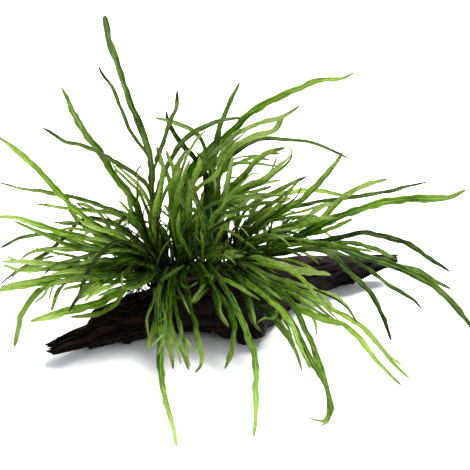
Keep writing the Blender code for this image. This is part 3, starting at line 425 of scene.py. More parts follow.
def to_picture(point):
    """The picture point and the distance towards the viewer of a point in space."""
    x, y, z = point
    near = z * SIN - y * COS
    shrink = (VIEW_DISTANCE - near) / VIEW_DISTANCE * PICTURE_UNIT
    across = PICTURE_CENTRE + (x + FOOT_U) / shrink
    down = PICTURE_CENTRE - (y * SIN + z * COS + FOOT_V) / shrink
    return across, down, near


def smooth_route(points):
    """A smooth curve through the points, read off at even steps of its length in space."""
    places = np.arange((len(points) - 1) * CURVE_STEPS) / CURVE_STEPS
    fine = np.concatenate([catmull(points, places), points[-1:]])
    along = travelled(to_space(*fine.T))
    count = max(FEWEST_STEPS, round(along[-1] / SAMPLE_STEP))
    wanted = np.linspace(0, along[-1], count + 1)
    return np.stack([np.interp(wanted, along, fine[:, k]) for k in range(3)], axis=-1)


# ---------------------------------------------------------------- the solids' wood and rhizomes

def wave(seed, value):
    """A smooth seeded wave between about -1 and 1."""
    return math.sin(value + seed * 2.4) * 0.6 + math.sin(value * 2.3 + seed * 5.1) * 0.4


def foot_drop(x, y):
    """How far the underside is drawn down at a place, by the feet there."""
    drop = 0
    for foot_x, foot_y, radius, depth in WOOD_FEET:
        away = math.hypot(x - foot_x * MM, y - foot_y * MM) / (radius * MM)
        drop = max(drop, depth * MM * math.exp(-away ** 4))
    return drop


def wood_ring(x, front, back, bottom, top, ring):
    """One cross-section: a flattened, ridged loop, in order round the grain."""
    middle, half_width = (front + back) / 2, (back - front) / 2
    centre, half_height = (bottom + top) / 2, (top - bottom) / 2
    thin = min(1, half_height / RIDGES_FADE)
    end = min(ring, WOOD_RINGS - 1 - ring)
    loop = []
    for k in range(WOOD_SIDES):
        angle = 2 * math.pi * k / WOOD_SIDES
        c, s = math.cos(angle), math.sin(angle)
        ridge = (1 if k % 2 else -1) * (0.55 + 0.45 * wave(k, ring * 0.35)) * RIDGE_HEIGHT * thin
        ridge += SWELL_HEIGHT * thin * wave(k + 30, ring * 0.5)
        y = middle + (half_width + ridge) * math.copysign(abs(c) ** SIDE_ROUNDNESS, c)
        z = centre + (half_height + ridge) * math.copysign(abs(s) ** TOP_ROUNDNESS, s)
        if s < 0:
            z -= foot_drop(x, y) * -s
        torn = SPLINTER * wave(k * 1.7, 3) * max(0, 1 - end / TORN_RINGS)
        loop.append((x + torn, y, max(0, z)))
    return loop


def wood_table():
    """The solid's own rings of points."""
    stations = np.array(WOOD_SECTIONS, dtype=float) * MM
    xs = stations[:, 0]
    rings = []
    for ring in range(WOOD_RINGS):
        x = xs[0] + (xs[-1] - xs[0]) * ring / (WOOD_RINGS - 1)
        sizes = [float(np.interp(x, xs, stations[:, k])) for k in range(1, 5)]
        rings.append(wood_ring(x, *sizes, ring))
    return np.array(rings)


def rhizome_axis(name):
    return np.array(RHIZOMES[name], dtype=float) * MM


def rhizome_line(name, count):
    """The rhizome's axis as a smooth line of so many points, and the direction at each."""
    axis = rhizome_axis(name)
    line = catmull(axis, np.linspace(0, len(axis) - 1, count))
    return line, units(np.gradient(line, axis=0))


def point_along(axis, fraction):
    """The place at a fraction of a polyline's length, and the direction there."""
    along = travelled(axis)
    want = fraction * along[-1]
    place = np.array([np.interp(want, along, axis[:, k]) for k in range(3)])
    k = min(len(axis) - 2, int(np.searchsorted(along, want, side="right")) - 1)
    return place, units(np.diff(axis, axis=0))[k]


# ---------------------------------------------------------------- frond strands

class Strand:
    """One blade or lobe: its route on the picture with its nearness, and its width."""

    def __init__(self, name, route, width, parent=None, joint=0, side=0):
        self.name = name
        self.route = route
        self.width = width
        self.parent = parent
        self.joint = joint
        self.side = side

    def space(self):
        return to_space(*self.route.T)

    def directions(self):
        return units(np.gradient(self.space(), axis=0))

    def free_of_parent(self):
        """Which samples lie past the fork, where a lobe must pass clear of its own blade."""
        free = np.ones(len(self.route), dtype=bool)
        if self.parent is not None:
            free[:FORK_FREE] = False
        return free

    def width_at(self, share):
        """Blade width: a thin stalk that widens into the blade, then a long taper."""
        taper = np.clip((1 - share) / (1 - TAPER_START), 0, 1) ** TAPER_POWER
        width = TIP_WIDTH + (self.width * MM - TIP_WIDTH) * taper
        if self.parent is None:
            width = np.minimum(width, STALK_WIDTH + (self.width * MM - STALK_WIDTH) * past_stalk(share))
        return width

    def light(self):
        """The way the upper faces of its frond's blades tend to look."""
        return np.array(LIGHT_BEHIND if self.name.startswith("frond_back") else LIGHT_BEFORE)

    def upper_faces(self):
        """The upper face's direction at each sample."""
        ahead, wish = self.directions(), self.light()
        if self.parent is None:
            start = int(np.abs(ahead @ wish).argmin())
            return carried_ups(ahead, wish, start, wish)
        return carried_ups(ahead, wish, 0, self.parent.upper_faces()[self.joint])


def past_stalk(share):
    """0 on a frond's stalk and 1 on its blade."""
    return eased(np.clip((share - STALK_END) / (BLADE_START - STALK_END), 0, 1))


def carried_ups(ahead, wish, start, first):
    """Upper-face directions carried both ways from one sample, and drawn to the light."""
    ups = np.zeros_like(ahead)
    ups[start] = square_to(ahead[start], first)
    order = [(k, k + 1) for k in range(start, len(ahead) - 1)]
    order += [(k, k - 1) for k in range(start, 0, -1)]
    for here, there in order:
        up = ups[here] + LIGHT_PULL * (wish - ahead[there] * ahead[there].dot(wish))
        ups[there] = square_to(ahead[there], up)
    return ups


def stalk_start(rhizome, along, towards):
    """Where a stalk leaves its rhizome, high on the side that faces the frond, and the next place."""
    place, direction = point_along(rhizome_axis(rhizome), along)
    out = unit(towards - place)
    out[2] += STALK_LEAN
    out = square_to(direction, out)
    foot = place + out * (RHIZOME_RADIUS + GAP)
    return foot, foot + out * STALK_RISE


def route_shares(flat):
    """How far along its route each point after the first lies, as a share."""
    steps = np.linalg.norm(np.diff(flat, axis=0), axis=1)
    return np.cumsum(steps) / steps.sum()


def main_strand(name, rhizome, along, width, tip_back, route):
    """A blade's strand, from its rhizome to its tip."""
    place, _ = point_along(rhizome_axis(rhizome), along)
    start_back = place[1]
    flat = np.array(route, dtype=float)
    share = route_shares(np.vstack([to_picture(place)[:2], flat]))
    nears = near_for_back(flat[:, 1], start_back + (tip_back * MM - start_back) * share)
    first = to_space(flat[0, 0], flat[0, 1], nears[0])
    start = [to_picture(place) for place in stalk_start(rhizome, along, first)]
    points = np.vstack([start, np.column_stack([flat, nears])])
    return Strand(name, smooth_route(points), width)


def lobe_strand(parent, width, further_back, route):
    """A lobe's strand, from where its route meets the blade."""
    flat = np.array(route, dtype=float)
    gaps = np.linalg.norm(parent.route[:, :2] - flat[0], axis=1)
    joint = int(np.clip(np.argmin(gaps), FORK_MARGIN, len(parent.route) - 1 - FORK_MARGIN))
    here = parent.route[joint]
    ahead = parent.route[joint + 2, :2] - parent.route[joint - 2, :2]
    aside = flat[1] - here[:2]
    side = -1 if ahead[0] * aside[1] - ahead[1] * aside[0] < 0 else 1
    start_back = to_space(*here)[1]
    nears = near_for_back(flat[1:, 1], start_back + further_back * MM * route_shares(flat))
    points = np.vstack([here, np.column_stack([flat[1:], nears])])
    return Strand(parent.name, smooth_route(points), width, parent, joint, side)


def strands_of(fronds):
    """The strands of each frond: its blade, then its lobes."""
    strands = []
    for name, (*blade, lobes) in fronds.items():
        parent = main_strand(name, *blade)
        strands.append(parent)
        strands += [lobe_strand(parent, *lobe) for lobe in lobes]
    return strands


# ---------------------------------------------------------------- keeping fronds apart

def nearest_allowed(strand, wood_tree):
    """The least nearness at each sample, so that the frond clears the floor and hangs before the wood."""
    eye = to_space(PICTURE_CENTRE, PICTURE_CENTRE, VIEW_DISTANCE)
    least = np.full(len(strand.route), NO_LIMIT)
    for k, (across, down, _) in enumerate(strand.route):
        ray = to_space(across, down, -FAR_BACK) - eye
        floor_share = (FLOOR_CLEARANCE - eye[2]) / ray[2]
        least[k] = VIEW_DISTANCE - floor_share * (VIEW_DISTANCE + FAR_BACK)
        hit, _, _, _ = wood_tree.ray_cast(Vector(eye), Vector(ray).normalized())
        if hit is not None and not strand.name.startswith("frond_back"):
            least[k] = max(least[k], to_picture(hit)[2] + WOOD_CLEARANCE)
    if strand.parent is None:
        least[:HELD_SAMPLES + 1] = NO_LIMIT
    return least


def rhizome_samples():
    """Places along every rhizome, on the picture with their nearness."""
    shares = np.linspace(0, 1, RHIZOME_SAMPLES)
    return np.array([to_picture(point_along(rhizome_axis(name), share)[0])
                     for name in RHIZOMES for share in shares])


def close_pairs(route, reach, own, family, free, held):
    """Pairs of samples that cross or run close on the picture, and how far apart they must lie."""
    apart = np.hypot(route[:, None, 0] - route[None, :, 0], route[:, None, 1] - route[None, :, 1])
    apart *= PICTURE_UNIT
    need = reach[:, None] + reach[None, :]
    kin = family[:, None] == family[None, :]
    later = own[:, None] < own[None, :]
    both_held = held[:, None] & held[None, :]
    close = (apart < need) & later & ~both_held & (~kin | (free[:, None] & free[None, :]))
    one, two = np.nonzero(close)
    return one, two, np.sqrt(need[one, two] ** 2 - apart[one, two] ** 2)


def keep_apart(strands, wood_tree, rounds, fixed=0):
    """Move samples along the line of sight only, until crossing blades pass clear of each other.

    The first strands, as many as fixed, stay where they are. The rhizomes come last and stay too.
    """
    root = rhizome_samples()
    names = [strand.name for strand in strands]
    counts = [len(strand.route) for strand in strands] + [len(root)]
    starts = np.cumsum([0] + counts)
    own = np.repeat(np.arange(len(counts)), counts)
    family = np.repeat([names.index(name) for name in names] + [-1], counts)
    route = np.vstack([strand.route for strand in strands] + [root])
    least = np.full(len(route), NO_LIMIT)
    reach = np.full(len(route), RHIZOME_RADIUS)
    free = np.zeros(len(route), dtype=bool)
    held = np.zeros(len(route), dtype=bool)
    for strand, start, end in zip(strands, starts, starts[1:]):
        least[start:end] = nearest_allowed(strand, wood_tree)
        reach[start:end] = REACH_SHARE * strand.width_at(np.linspace(0, 1, end - start)) + REACH_EXTRA
        free[start:end] = strand.free_of_parent()
        if strand.parent is None:
            held[start:start + HELD_SAMPLES] = True
    held[:starts[fixed]] = True
    held[starts[-2]:] = True
    one, two, gap = close_pairs(route, reach, own, family, free, held)

    # Which of two strands passes in front is settled once, from where they were drawn.
    pair = own[one] * len(counts) + own[two]
    order = np.zeros(len(counts) ** 2)
    np.add.at(order, pair, route[one, 2] - route[two, 2])
    sign = np.where(order[pair] >= 0, 1.0, -1.0)

    first = route[:, 2].copy()
    shift = np.zeros(len(route))
    for turn in range(rounds):
        near = first + shift
        short = gap - sign * (near[one] - near[two])
        bad = short > 0
        push = np.zeros(len(route))
        pushes = np.zeros(len(route))
        for samples, way in ((one[bad], 1), (two[bad], -1)):
            np.add.at(push, samples, way * sign[bad] * short[bad])
            np.add.at(pushes, samples, 1)
        shift += 0.5 * push / np.maximum(pushes, 1)
        shift = np.maximum(shift, least - first)
        shift[starts[-2]:] = 0
        shift[:starts[fixed]] = 0
        for k, strand in enumerate(strands):
            part = shift[starts[k]:starts[k + 1]]
            if strand.parent is None:
                part[0] = 0
            else:
                part[0] = shift[starts[strands.index(strand.parent)] + strand.joint]
            if turn < rounds - UNSMOOTHED_ROUNDS and k >= fixed:
                part[1:-1] = 0.25 * part[:-2] + 0.5 * part[1:-1] + 0.25 * part[2:]
                part[-1] = 0.5 * part[-1] + 0.5 * part[-2]
    route[:, 2] = first + shift
    for strand, start, end in zip(strands, starts, starts[1:]):
        strand.route = route[start:end]


# ---------------------------------------------------------------- fine blades

ROW = 1.3 * MM * 1    # along a fine blade
FEWEST_ROWS = 8                 # on a blade
FEWEST_LOBE_ROWS = 4            # on a lobe, and on the web that it grows out of
ACROSS = np.array([-1, -0.8, -0.5, -0.16, 0, 0.16, 0.5, 0.8, 1])
MIDRIB = 4                      # which of these lies on the midrib
AHEAD = 0.2                     # samples before and after a place, for the direction there
FINE_TAPER = 0.66               # share of a blade's length where it starts to narrow
FINE_TIP = 0.35 * MM
BLUNT_TAPER = 0.97              # the same for the topmost frond, which stays wide to its end
SLIM_STALK = 0.6                # the widest that a stalk is, per blade width
BLADE_MIDDLE = 0.55 * MM        # a blade's thickness at its midrib
RIM = 0.14 * MM                 # and at its edge
GUTTER = 0.13                   # how far the edges stand above the middle, per width
RUFFLE = 0.10                   # how far the edges wave up and down, per width
EDGE_WANDER = 0.24              # how much a blade's half width varies
MEANDER = 0.10                  # how far its middle wanders sideways, per width
MAX_TWIST = 0.40                # radians either way
EDGE_WAVE = (3, 6)              # the shortest and longest wavelengths, in millimetres
MEANDER_WAVE = (7, 11)
TWIST_WAVE = 40
RIB = 0.20 * MM                 # the midrib stands proud below
GROOVE = 0.10 * MM              # and is sunk above
RIB_WIDTH = 0.15                # per half width
STALK_BURY = 1.8 * MM           # how deep a stalk starts inside its rhizome
LOBE_CLEAR = 0.45               # a lobe is clear of its blade by this share of its own width
FORK_PER_WIDTH = 1.6            # the shortest fork, per width of the lobe
FORK_LOWEST = 0.02              # shares of the blade's length that forks keep between
FORK_HIGHEST = 0.985
INTO_PARENT = 0.84              # where on the blade's half width its lobes start
SHOULDER = 0.85                 # how thick they start, per thickness of the blade
WEB_REACH = 0.9                 # how strongly a web keeps its first direction
ANY_SIDE = np.array([0.3, 0.2, 1.0])    # where a round body's first side points


class Blade:
    """A fine blade or lobe: its middle line, its upper side, its width and its own unevenness."""

    def __init__(self, points, ups, width, seed, parent=None, joint=0.0, side=0, stalk=True,
                 taper=FINE_TAPER):
        self.points = points
        self.ups = ups
        self.lengths = travelled(points)
        self.length = float(self.lengths[-1])
        self.width = width
        self.parent = parent
        self.joint = joint
        self.side = side
        self.stalk = stalk
        self.taper = taper
        rng = seeded(*seed)
        self.edges = [self.uneven(rng, rng.uniform(*EDGE_WAVE)) for _ in range(2)]
        self.ruffles = [self.uneven(rng, rng.uniform(*EDGE_WAVE)) for _ in range(2)]
        self.meander = self.uneven(rng, rng.uniform(*MEANDER_WAVE))
        self.twist = self.uneven(rng, TWIST_WAVE)

    def uneven(self, rng, wavelength):
        return noise_line(rng, self.length, wavelength * MM)

    def frame(self, share):
        """The middle, the direction ahead and the upper side at shares of the length."""
        places = np.interp(share * self.length, self.lengths, np.arange(len(self.points)))
        centre = catmull(self.points, places)
        last = len(self.points) - 1
        ahead = units(catmull(self.points, np.minimum(places + AHEAD, last))
                      - catmull(self.points, np.maximum(places - AHEAD, 0)))
        up = catmull(self.ups, places)
        up = units(up - ahead * np.sum(ahead * up, axis=1)[:, None])
        return centre, ahead, up

    def leafy(self, share):
        """0 on the stalk and 1 on the blade."""
        return past_stalk(share) if self.stalk else np.ones_like(share)

    def width_at(self, share):
        narrowing = np.clip((share - self.taper) / (1 - self.taper), 0, 1)
        taper = np.sqrt(1 - narrowing ** 2)
        width = FINE_TIP + (self.width - FINE_TIP) * taper
        if self.stalk:
            stalk = min(STALK_WIDTH, self.width * SLIM_STALK)
            width = np.minimum(width, stalk + (self.width - stalk) * self.leafy(share))
        return width

    def grid(self, share, across):
        """Points of the upper and of the lower surface, one row for each share."""
        centre, ahead, up = self.frame(share)
        along = share * self.length
        leafy = self.leafy(share)[:, None]
        turn = (MAX_TWIST * self.twist(along) * leafy[:, 0] * np.clip(share * 4, 0, 1))[:, None]
        side = np.cross(ahead, up)
        side, up = side * np.cos(turn) + up * np.sin(turn), up * np.cos(turn) - side * np.sin(turn)
        width = self.width_at(share)[:, None]
        aside = MEANDER * self.meander(along)[:, None] * leafy * width * np.clip(share * 5, 0, 1)[:, None]
        centre = centre + side * aside
        v = np.asarray(across, dtype=float)[None, :]
        left = v < 0
        wander, ruffle = [np.where(left, lines[0](along)[:, None], lines[1](along)[:, None])
                          for lines in (self.edges, self.ruffles)]
        half = width / 2 * (1 + EDGE_WANDER * leafy * wander)
        lift = leafy * width * (GUTTER * v ** 2 + RUFFLE * ruffle * np.abs(v) ** 2.5)
        slim = np.clip(width / STALK_WIDTH, 0.3, 1)
        round_thick = STALK_THICKNESS * np.sqrt(np.maximum(0, 1 - v ** 2)) + RIM
        flat_thick = RIM + (BLADE_MIDDLE - RIM) * (1 - v ** 2)
        thick = slim * (round_thick * (1 - leafy) + flat_thick * leafy)
        rib = np.exp(-(v / RIB_WIDTH) ** 2) * leafy * slim
        middle = centre[:, None] + side[:, None] * (v * half)[:, :, None]
        top = middle + up[:, None] * (lift + thick / 2 - GROOVE * rib)[:, :, None]
        bottom = middle + up[:, None] * (lift - thick / 2 - RIB * rib)[:, :, None]
        return top, bottom


class Pile:
    """Mesh under construction: closed bodies with marks for the material on every point."""

    MARKS = ("along", "across", "tone", "lime", "dry")

    def __init__(self):
        self.verts, self.faces, self.marks = [], [], []
        self.count = 0

    def numbers(self, rows, around):
        """The numbers that new points get, row by row, and those of the next points round."""
        numbers = np.arange(rows * around).reshape(rows, around) + self.count
        return numbers, np.roll(numbers, -1, axis=1)

    def loft(self, top, bottom, along, across, looks):
        """A closed flat body between rows of upper and lower points."""
        rows, columns = top.shape[:2]
        around = 2 * columns
        numbers, ahead = self.numbers(rows, around)
        sides = np.stack([numbers[:-1], ahead[:-1], ahead[1:], numbers[1:]], axis=-1).reshape(-1, 4)
        over, under = numbers[:, :columns], numbers[:, columns:][:, ::-1]
        start = np.stack([over[0, :-1], under[0, :-1], under[0, 1:], over[0, 1:]], axis=-1)
        end = np.stack([over[-1, :-1], over[-1, 1:], under[-1, 1:], under[-1, :-1]], axis=-1)
        across = np.broadcast_to(across, (rows, columns))
        across = np.concatenate([across, across[:, ::-1]], axis=1)
        along = np.broadcast_to(np.asarray(along)[:, None], (rows, around))
        marks = np.stack([along, across] + [np.full((rows, around), value) for value in looks], axis=-1)
        self.verts.append(np.concatenate([top, bottom[:, ::-1]], axis=1).reshape(-1, 3))
        self.marks.append(marks.reshape(-1, len(self.MARKS)))
        self.faces += [sides, start, end]
        self.count += rows * around

    def skin(self, rings, tips, tone, corner):
        """A closed body of rings of points with a tip at each end; its faces start at that corner."""
        rows, around = rings.shape[:2]
        numbers, ahead = self.numbers(rows, around)
        sides = np.stack([numbers[:-1], ahead[:-1], ahead[1:], numbers[1:]], axis=-1).reshape(-1, 4)
        tip = np.full(around, self.count + rows * around)
        start = np.stack([ahead[0], numbers[0], tip, tip], axis=-1)
        end = np.stack([numbers[-1], ahead[-1], tip + 1, tip + 1], axis=-1)
        marks = np.zeros((rows * around + 2, len(self.MARKS)))
        marks[:, 0] = np.r_[np.repeat(np.linspace(0, 1, rows), around), 0, 1]
        marks[:, 2] = tone
        self.verts += [rings.reshape(-1, 3), np.array(tips)]
        self.marks.append(marks)
        self.faces += [np.roll(sides, -corner, axis=1), start, end]
        self.count += len(marks)

    def tube(self, points, radii, sides, tone):
        """A closed round body along a line of points."""
        ahead = units(np.gradient(points, axis=0))
        up = carried_ups(ahead, ANY_SIDE, 0, ANY_SIDE)
        side = np.cross(ahead, up)
        angle = np.linspace(0, 2 * np.pi, sides, endpoint=False)
        rings = (points[:, None] + np.asarray(radii)[:, None, None]
                 * (side[:, None] * np.cos(angle)[:, None] + up[:, None] * np.sin(angle)[:, None]))
        self.skin(rings, (points[0], points[-1]), tone, 1)

    def make(self, name, material, slot_name):
        """The finished piece."""
        verts = np.concatenate(self.verts)
        faces = np.concatenate(self.faces)
        marks = np.concatenate(self.marks)
        mesh = bpy.data.meshes.new(name)
        mesh.vertices.add(len(verts))
        mesh.vertices.foreach_set("co", verts.astype(np.float32).ravel())
        triangle = faces[:, 2] == faces[:, 3]
        sizes = np.where(triangle, 3, 4)
        unused = np.column_stack([np.zeros((len(faces), 3), dtype=bool), triangle])
        corners = faces.ravel()[~unused.ravel()]
        mesh.loops.add(len(corners))
        mesh.loops.foreach_set("vertex_index", corners.astype(np.int32))
        mesh.polygons.add(len(faces))
        mesh.polygons.foreach_set("loop_start", np.r_[0, np.cumsum(sizes)[:-1]].astype(np.int32))
        mesh.polygons.foreach_set("loop_total", sizes.astype(np.int32))
        mesh.polygons.foreach_set("use_smooth", np.ones(len(faces), dtype=bool))
        mesh.update(calc_edges=True)
        mesh.validate()
        for k, mark in enumerate(self.MARKS):
            layer = mesh.attributes.new(mark, "FLOAT", "POINT")
            layer.data.foreach_set("value", marks[:, k].astype(np.float32))
        mesh.materials.append(material)
        piece = bpy.data.objects.new(name, mesh)
        bpy.context.scene.collection.objects.link(piece)
        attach(piece, "root")
        return piece


def add_main(pile, blade, looks):
    """A frond's own blade; its stalk starts inside the rhizome."""
    rows = max(FEWEST_ROWS, round(blade.length / ROW))
    share = np.linspace(0, 1, rows + 1)
    top, bottom = blade.grid(share, ACROSS)
    back = unit(blade.points[0] - blade.points[1]) * STALK_BURY
    top = np.concatenate([top[:1] + back, top])
    bottom = np.concatenate([bottom[:1] + back, bottom])
    pile.loft(top, bottom, np.r_[0, share], ACROSS, looks)


def fork_stretch(lobe):
    """The stretch of the blade's edge that a lobe grows from, and where the lobe is clear, as shares."""
    parent = lobe.parent
    away = np.linalg.norm(parent.points[None] - lobe.points[:, None], axis=2)
    gaps = away.min(axis=1)
    clear_by = float(parent.width_at(lobe.joint)) / 2 + lobe.width * LOBE_CLEAR
    clear = int(np.argmax(gaps > clear_by)) or len(gaps) // 3
    clear = int(np.clip(clear, 2, max(2, len(gaps) // 2)))
    shortest = min(FORK_SHORTEST, lobe.width * FORK_PER_WIDTH)
    passed = parent.lengths[away[clear].argmin()] - lobe.joint * parent.length
    stretch = float(np.clip(passed, shortest, FORK_LONGEST))
    low = max(FORK_LOWEST, lobe.joint - shortest / 2 / parent.length)
    high = min(FORK_HIGHEST, low + stretch / parent.length)
    return low, high, lobe.lengths[clear] / lobe.length


def add_lobe(pile, lobe, looks):
    """A lobe grown out of its blade's edge: webbed at the shoulder and rounded in the crotch."""
    parent = lobe.parent
    low, high, clear = fork_stretch(lobe)
    upward = (ACROSS + 1) / 2 if lobe.side < 0 else (1 - ACROSS) / 2
    shares = low + (high - low) * upward
    top, bottom = parent.grid(shares, [lobe.side * INTO_PARENT])
    middle = (top[:, 0] + bottom[:, 0]) / 2
    start = [middle + SHOULDER * (face[:, 0] - middle) for face in (top, bottom)]
    _, ahead, up = parent.frame(shares)
    outward = np.cross(ahead, up) * lobe.side
    leave = ahead * (1 - upward)[:, None] + outward * upward[:, None]
    rows = max(FEWEST_LOBE_ROWS, round(lobe.length * (1 - clear) / ROW))
    own_share = np.linspace(clear, 1, rows + 1)
    own = lobe.grid(own_share, ACROSS)
    _, lobe_ahead, _ = lobe.frame(np.array([clear]))
    web_length = float(np.linalg.norm(own[0][0, MIDRIB] - start[0][MIDRIB]))
    steps = max(FEWEST_LOBE_ROWS, round(web_length / ROW))
    t = np.linspace(0, 1, steps, endpoint=False)[:, None, None]
    surfaces = []
    for first, rest in zip(start, own):
        reach = np.linalg.norm(rest[0] - first, axis=1)[:, None] * WEB_REACH
        web = ((2 * t ** 3 - 3 * t ** 2 + 1) * first + (t ** 3 - 2 * t ** 2 + t) * leave * reach
               + (3 * t ** 2 - 2 * t ** 3) * rest[0] + (t ** 3 - t ** 2) * lobe_ahead * reach)
        surfaces.append(np.concatenate([web, rest]))
    web_share = np.linspace(0, clear, steps, endpoint=False)
    along = lobe.joint + (1 - lobe.joint) * np.r_[web_share, own_share]
    grown = np.clip(np.r_[web_share / clear, np.ones(rows + 1)], 0, 1)[:, None]
    across = lobe.side * INTO_PARENT * (1 - grown) + ACROSS[None, :] * grown
    pile.loft(surfaces[0], surfaces[1], along, across, looks)


# ---------------------------------------------------------------- the fronds of the solids

# How light each frond is, from 0 (dark) to 1 (bright); how pale it grows to the tip; how dry its tip is.
# The tones hold painted shade and light as well as each frond's own colour: the fronds hanging over the
# front of the wood are darker, as in shade.
LOOKS = {
    "top_1": (0.46, 0.1, 0.3), "top_2": (0.32, 0.0, 0.8), "top_3": (0.45, 0.2, 0.1),
    "top_4": (0.58, 0.5, 0.2), "top_5": (0.64, 0.3, 0.1), "top_6": (0.60, 0.5, 0.1),
    "top_7": (0.70, 0.4, 0.4), "top_8": (0.84, 0.5, 0.1), "top_9": (0.34, 0.2, 0.2),
    "left_1": (0.58, 0.3, 0.2), "left_2": (0.56, 0.5, 0.3), "left_3": (0.52, 0.3, 0.6),
    "left_4": (0.50, 0.8, 0.2), "left_5": (0.80, 0.8, 0.1), "left_6": (0.52, 0.2, 0.6),
    "left_7": (0.50, 0.8, 0.2), "left_8": (0.54, 0.7, 0.2), "left_9": (0.44, 0.4, 0.4),
    "right_1": (0.76, 0.8, 0.3), "right_2": (0.36, 0.1, 0.9), "right_3": (0.56, 0.4, 0.5),
    "right_4": (0.60, 0.2, 0.6), "right_5": (0.66, 0.3, 0.8), "right_6": (0.64, 0.7, 0.4),
    "right_7": (0.62, 0.4, 0.3), "right_8": (0.74, 0.4, 0.3), "right_9": (0.30, 0.1, 0.7),
    "right_10": (0.48, 0.5, 0.1), "right_11": (0.26, 0.1, 0.6), "right_12": (0.24, 0.2, 0.3),
    "right_13": (0.22, 0.0, 0.8), "right_14": (0.84, 0.8, 0.0), "front_1": (0.72, 0.6, 0.2),
    "front_2": (0.62, 0.6, 0.3), "front_3": (0.42, 0.3, 0.2), "front_4": (0.42, 0.3, 0.2),
    "front_5": (0.18, 0.5, 0.2), "front_6": (0.28, 0.8, 0.2), "front_7": (0.24, 0.2, 0.8),
    "front_8": (0.32, 0.7, 0.3), "front_9": (0.32, 0.8, 0.6), "front_10": (0.30, 1.2, 0.0),
    "front_11": (0.30, 1.0, 0.6), "front_12": (0.20, 0.9, 0.3),
}
# The lobes that don't look like their blade; their tones too hold painted shade and light as well as their
# own colour.
LOBE_LOOKS = {
    ("top_1", 1): (0.56, 0.2, 0.9), ("top_1", 2): (0.50, 0.2, 0.9), ("top_1", 4): (0.56, 0.1, 0.9),
    ("top_4", 1): (0.46, 0.4, 0.2), ("top_5", 1): (0.44, 0.2, 0.1), ("top_5", 2): (0.72, 0.3, 0.1),
    ("top_9", 1): (0.42, 0.3, 0.2), ("left_2", 1): (0.66, 0.5, 0.3), ("left_2", 2): (0.68, 0.5, 0.3),
    ("left_3", 1): (0.68, 0.4, 0.6), ("left_6", 1): (0.68, 0.4, 0.5), ("left_7", 2): (0.66, 0.7, 0.2),
    ("left_7", 3): (0.72, 0.6, 0.2), ("left_8", 2): (0.72, 0.6, 0.2), ("left_9", 1): (0.42, 0.6, 0.3),
    ("right_2", 1): (0.64, 0.3, 0.8), ("right_3", 1): (0.80, 0.6, 0.3), ("right_5", 1): (0.62, 0.3, 0.8),
    ("right_6", 1): (0.88, 0.6, 0.3), ("right_7", 1): (0.86, 0.4, 0.2), ("right_8", 1): (0.78, 0.4, 0.3),
    ("right_9", 1): (0.62, 0.2, 0.5), ("right_10", 1): (0.54, 0.6, 0.1),
    ("right_10", 2): (0.66, 0.6, 0.1), ("right_12", 1): (0.44, 0.2, 0.6),
    ("right_13", 1): (0.34, 0.1, 0.9), ("front_2", 1): (0.78, 0.6, 0.4), ("front_8", 1): (0.22, 0.8, 0.3),
    ("front_10", 1): (0.38, 1.2, 0.0), ("front_10", 2): (0.30, 1.0, 0.0),
    ("front_11", 2): (0.30, 1.2, 0.3),
}
BACK_LOOKS = (0.45, 0.4, 0.3)
TONE_SPREAD = 0.08              # how much darker or lighter a blade is than its given tone
LOBE_LIGHTER = 0.10             # the most that a lobe is lighter than its blade
BLUNT = "frond_top_1"
# The short side lobes of the fronds in view: how far along, side, length in mm and share of the width.
SPURS = {
    "right_1": [(0.90, -1, 11, 0.6)],
    "right_3": [(0.88, 1, 8, 0.5)],
    "front_1": [(0.86, -1, 9, 0.5)],
    "left_5": [(0.90, 1, 7, 0.5)],
    "front_8": [(0.85, 1, 8, 0.5)],
}
# Others have one at a seeded place.
SPUR_SHARE = 0.5                # of the back blades and of the longer young leaves
SPUR_PLACES = (0.5, 0.88)       # shares of the blade's length
SPUR_WIDTHS = (0.42, 0.6)       # shares of its width
SPUR_LENGTHS = (6, 15)          # millimetres
SPUR_ANGLES = (22, 42)          # degrees from the blade
SPUR_RISES = (-0.15, 0.1)       # of its tip, per length
SPUR_POINTS = 8


def blade_of(strand, seed, parent=None):
    """The fine blade or lobe that follows a strand."""
    joint = 0.0 if parent is None else parent.lengths[strand.joint] / parent.length
    taper = BLUNT_TAPER if strand.name == BLUNT and parent is None else FINE_TAPER
    return Blade(strand.space(), strand.upper_faces(), strand.width * MM, seed, parent, joint,
                 strand.side, parent is None, taper)


def add_spur(pile, blade, looks, rng, joint, side, length, share):
    """A short pointed side lobe, drawn in the blade's own plane."""
    centre, ahead, up = [part[0] for part in blade.frame(np.array([joint]))]
    outward = np.cross(ahead, up) * side
    angle = math.radians(rng.uniform(*SPUR_ANGLES))
    steps = np.linspace(0, 1, SPUR_POINTS)
    bend = angle * (1 - 0.5 * steps)
    strides = ahead * np.cos(bend)[1:, None] + outward * np.sin(bend)[1:, None]
    path = np.cumsum(np.vstack([np.zeros(3), strides * length / (SPUR_POINTS - 1)]), axis=0)
    points = centre + path + up * (rng.uniform(*SPUR_RISES) * length * steps ** 2)[:, None]
    ups = carried_ups(units(np.gradient(points, axis=0)), up, 0, up)
    spur = Blade(points, ups, blade.width * share, (joint, side, length), blade, joint, side, False)
    add_lobe(pile, spur, looks)


def add_any_spur(pile, blade, looks, rng):
    """A side lobe at a seeded place."""
    joint, side, share = rng.uniform(*SPUR_PLACES), rng.choice([-1, 1]), rng.uniform(*SPUR_WIDTHS)
    add_spur(pile, blade, looks, rng, joint, side, rng.uniform(*SPUR_LENGTHS) * MM, share)


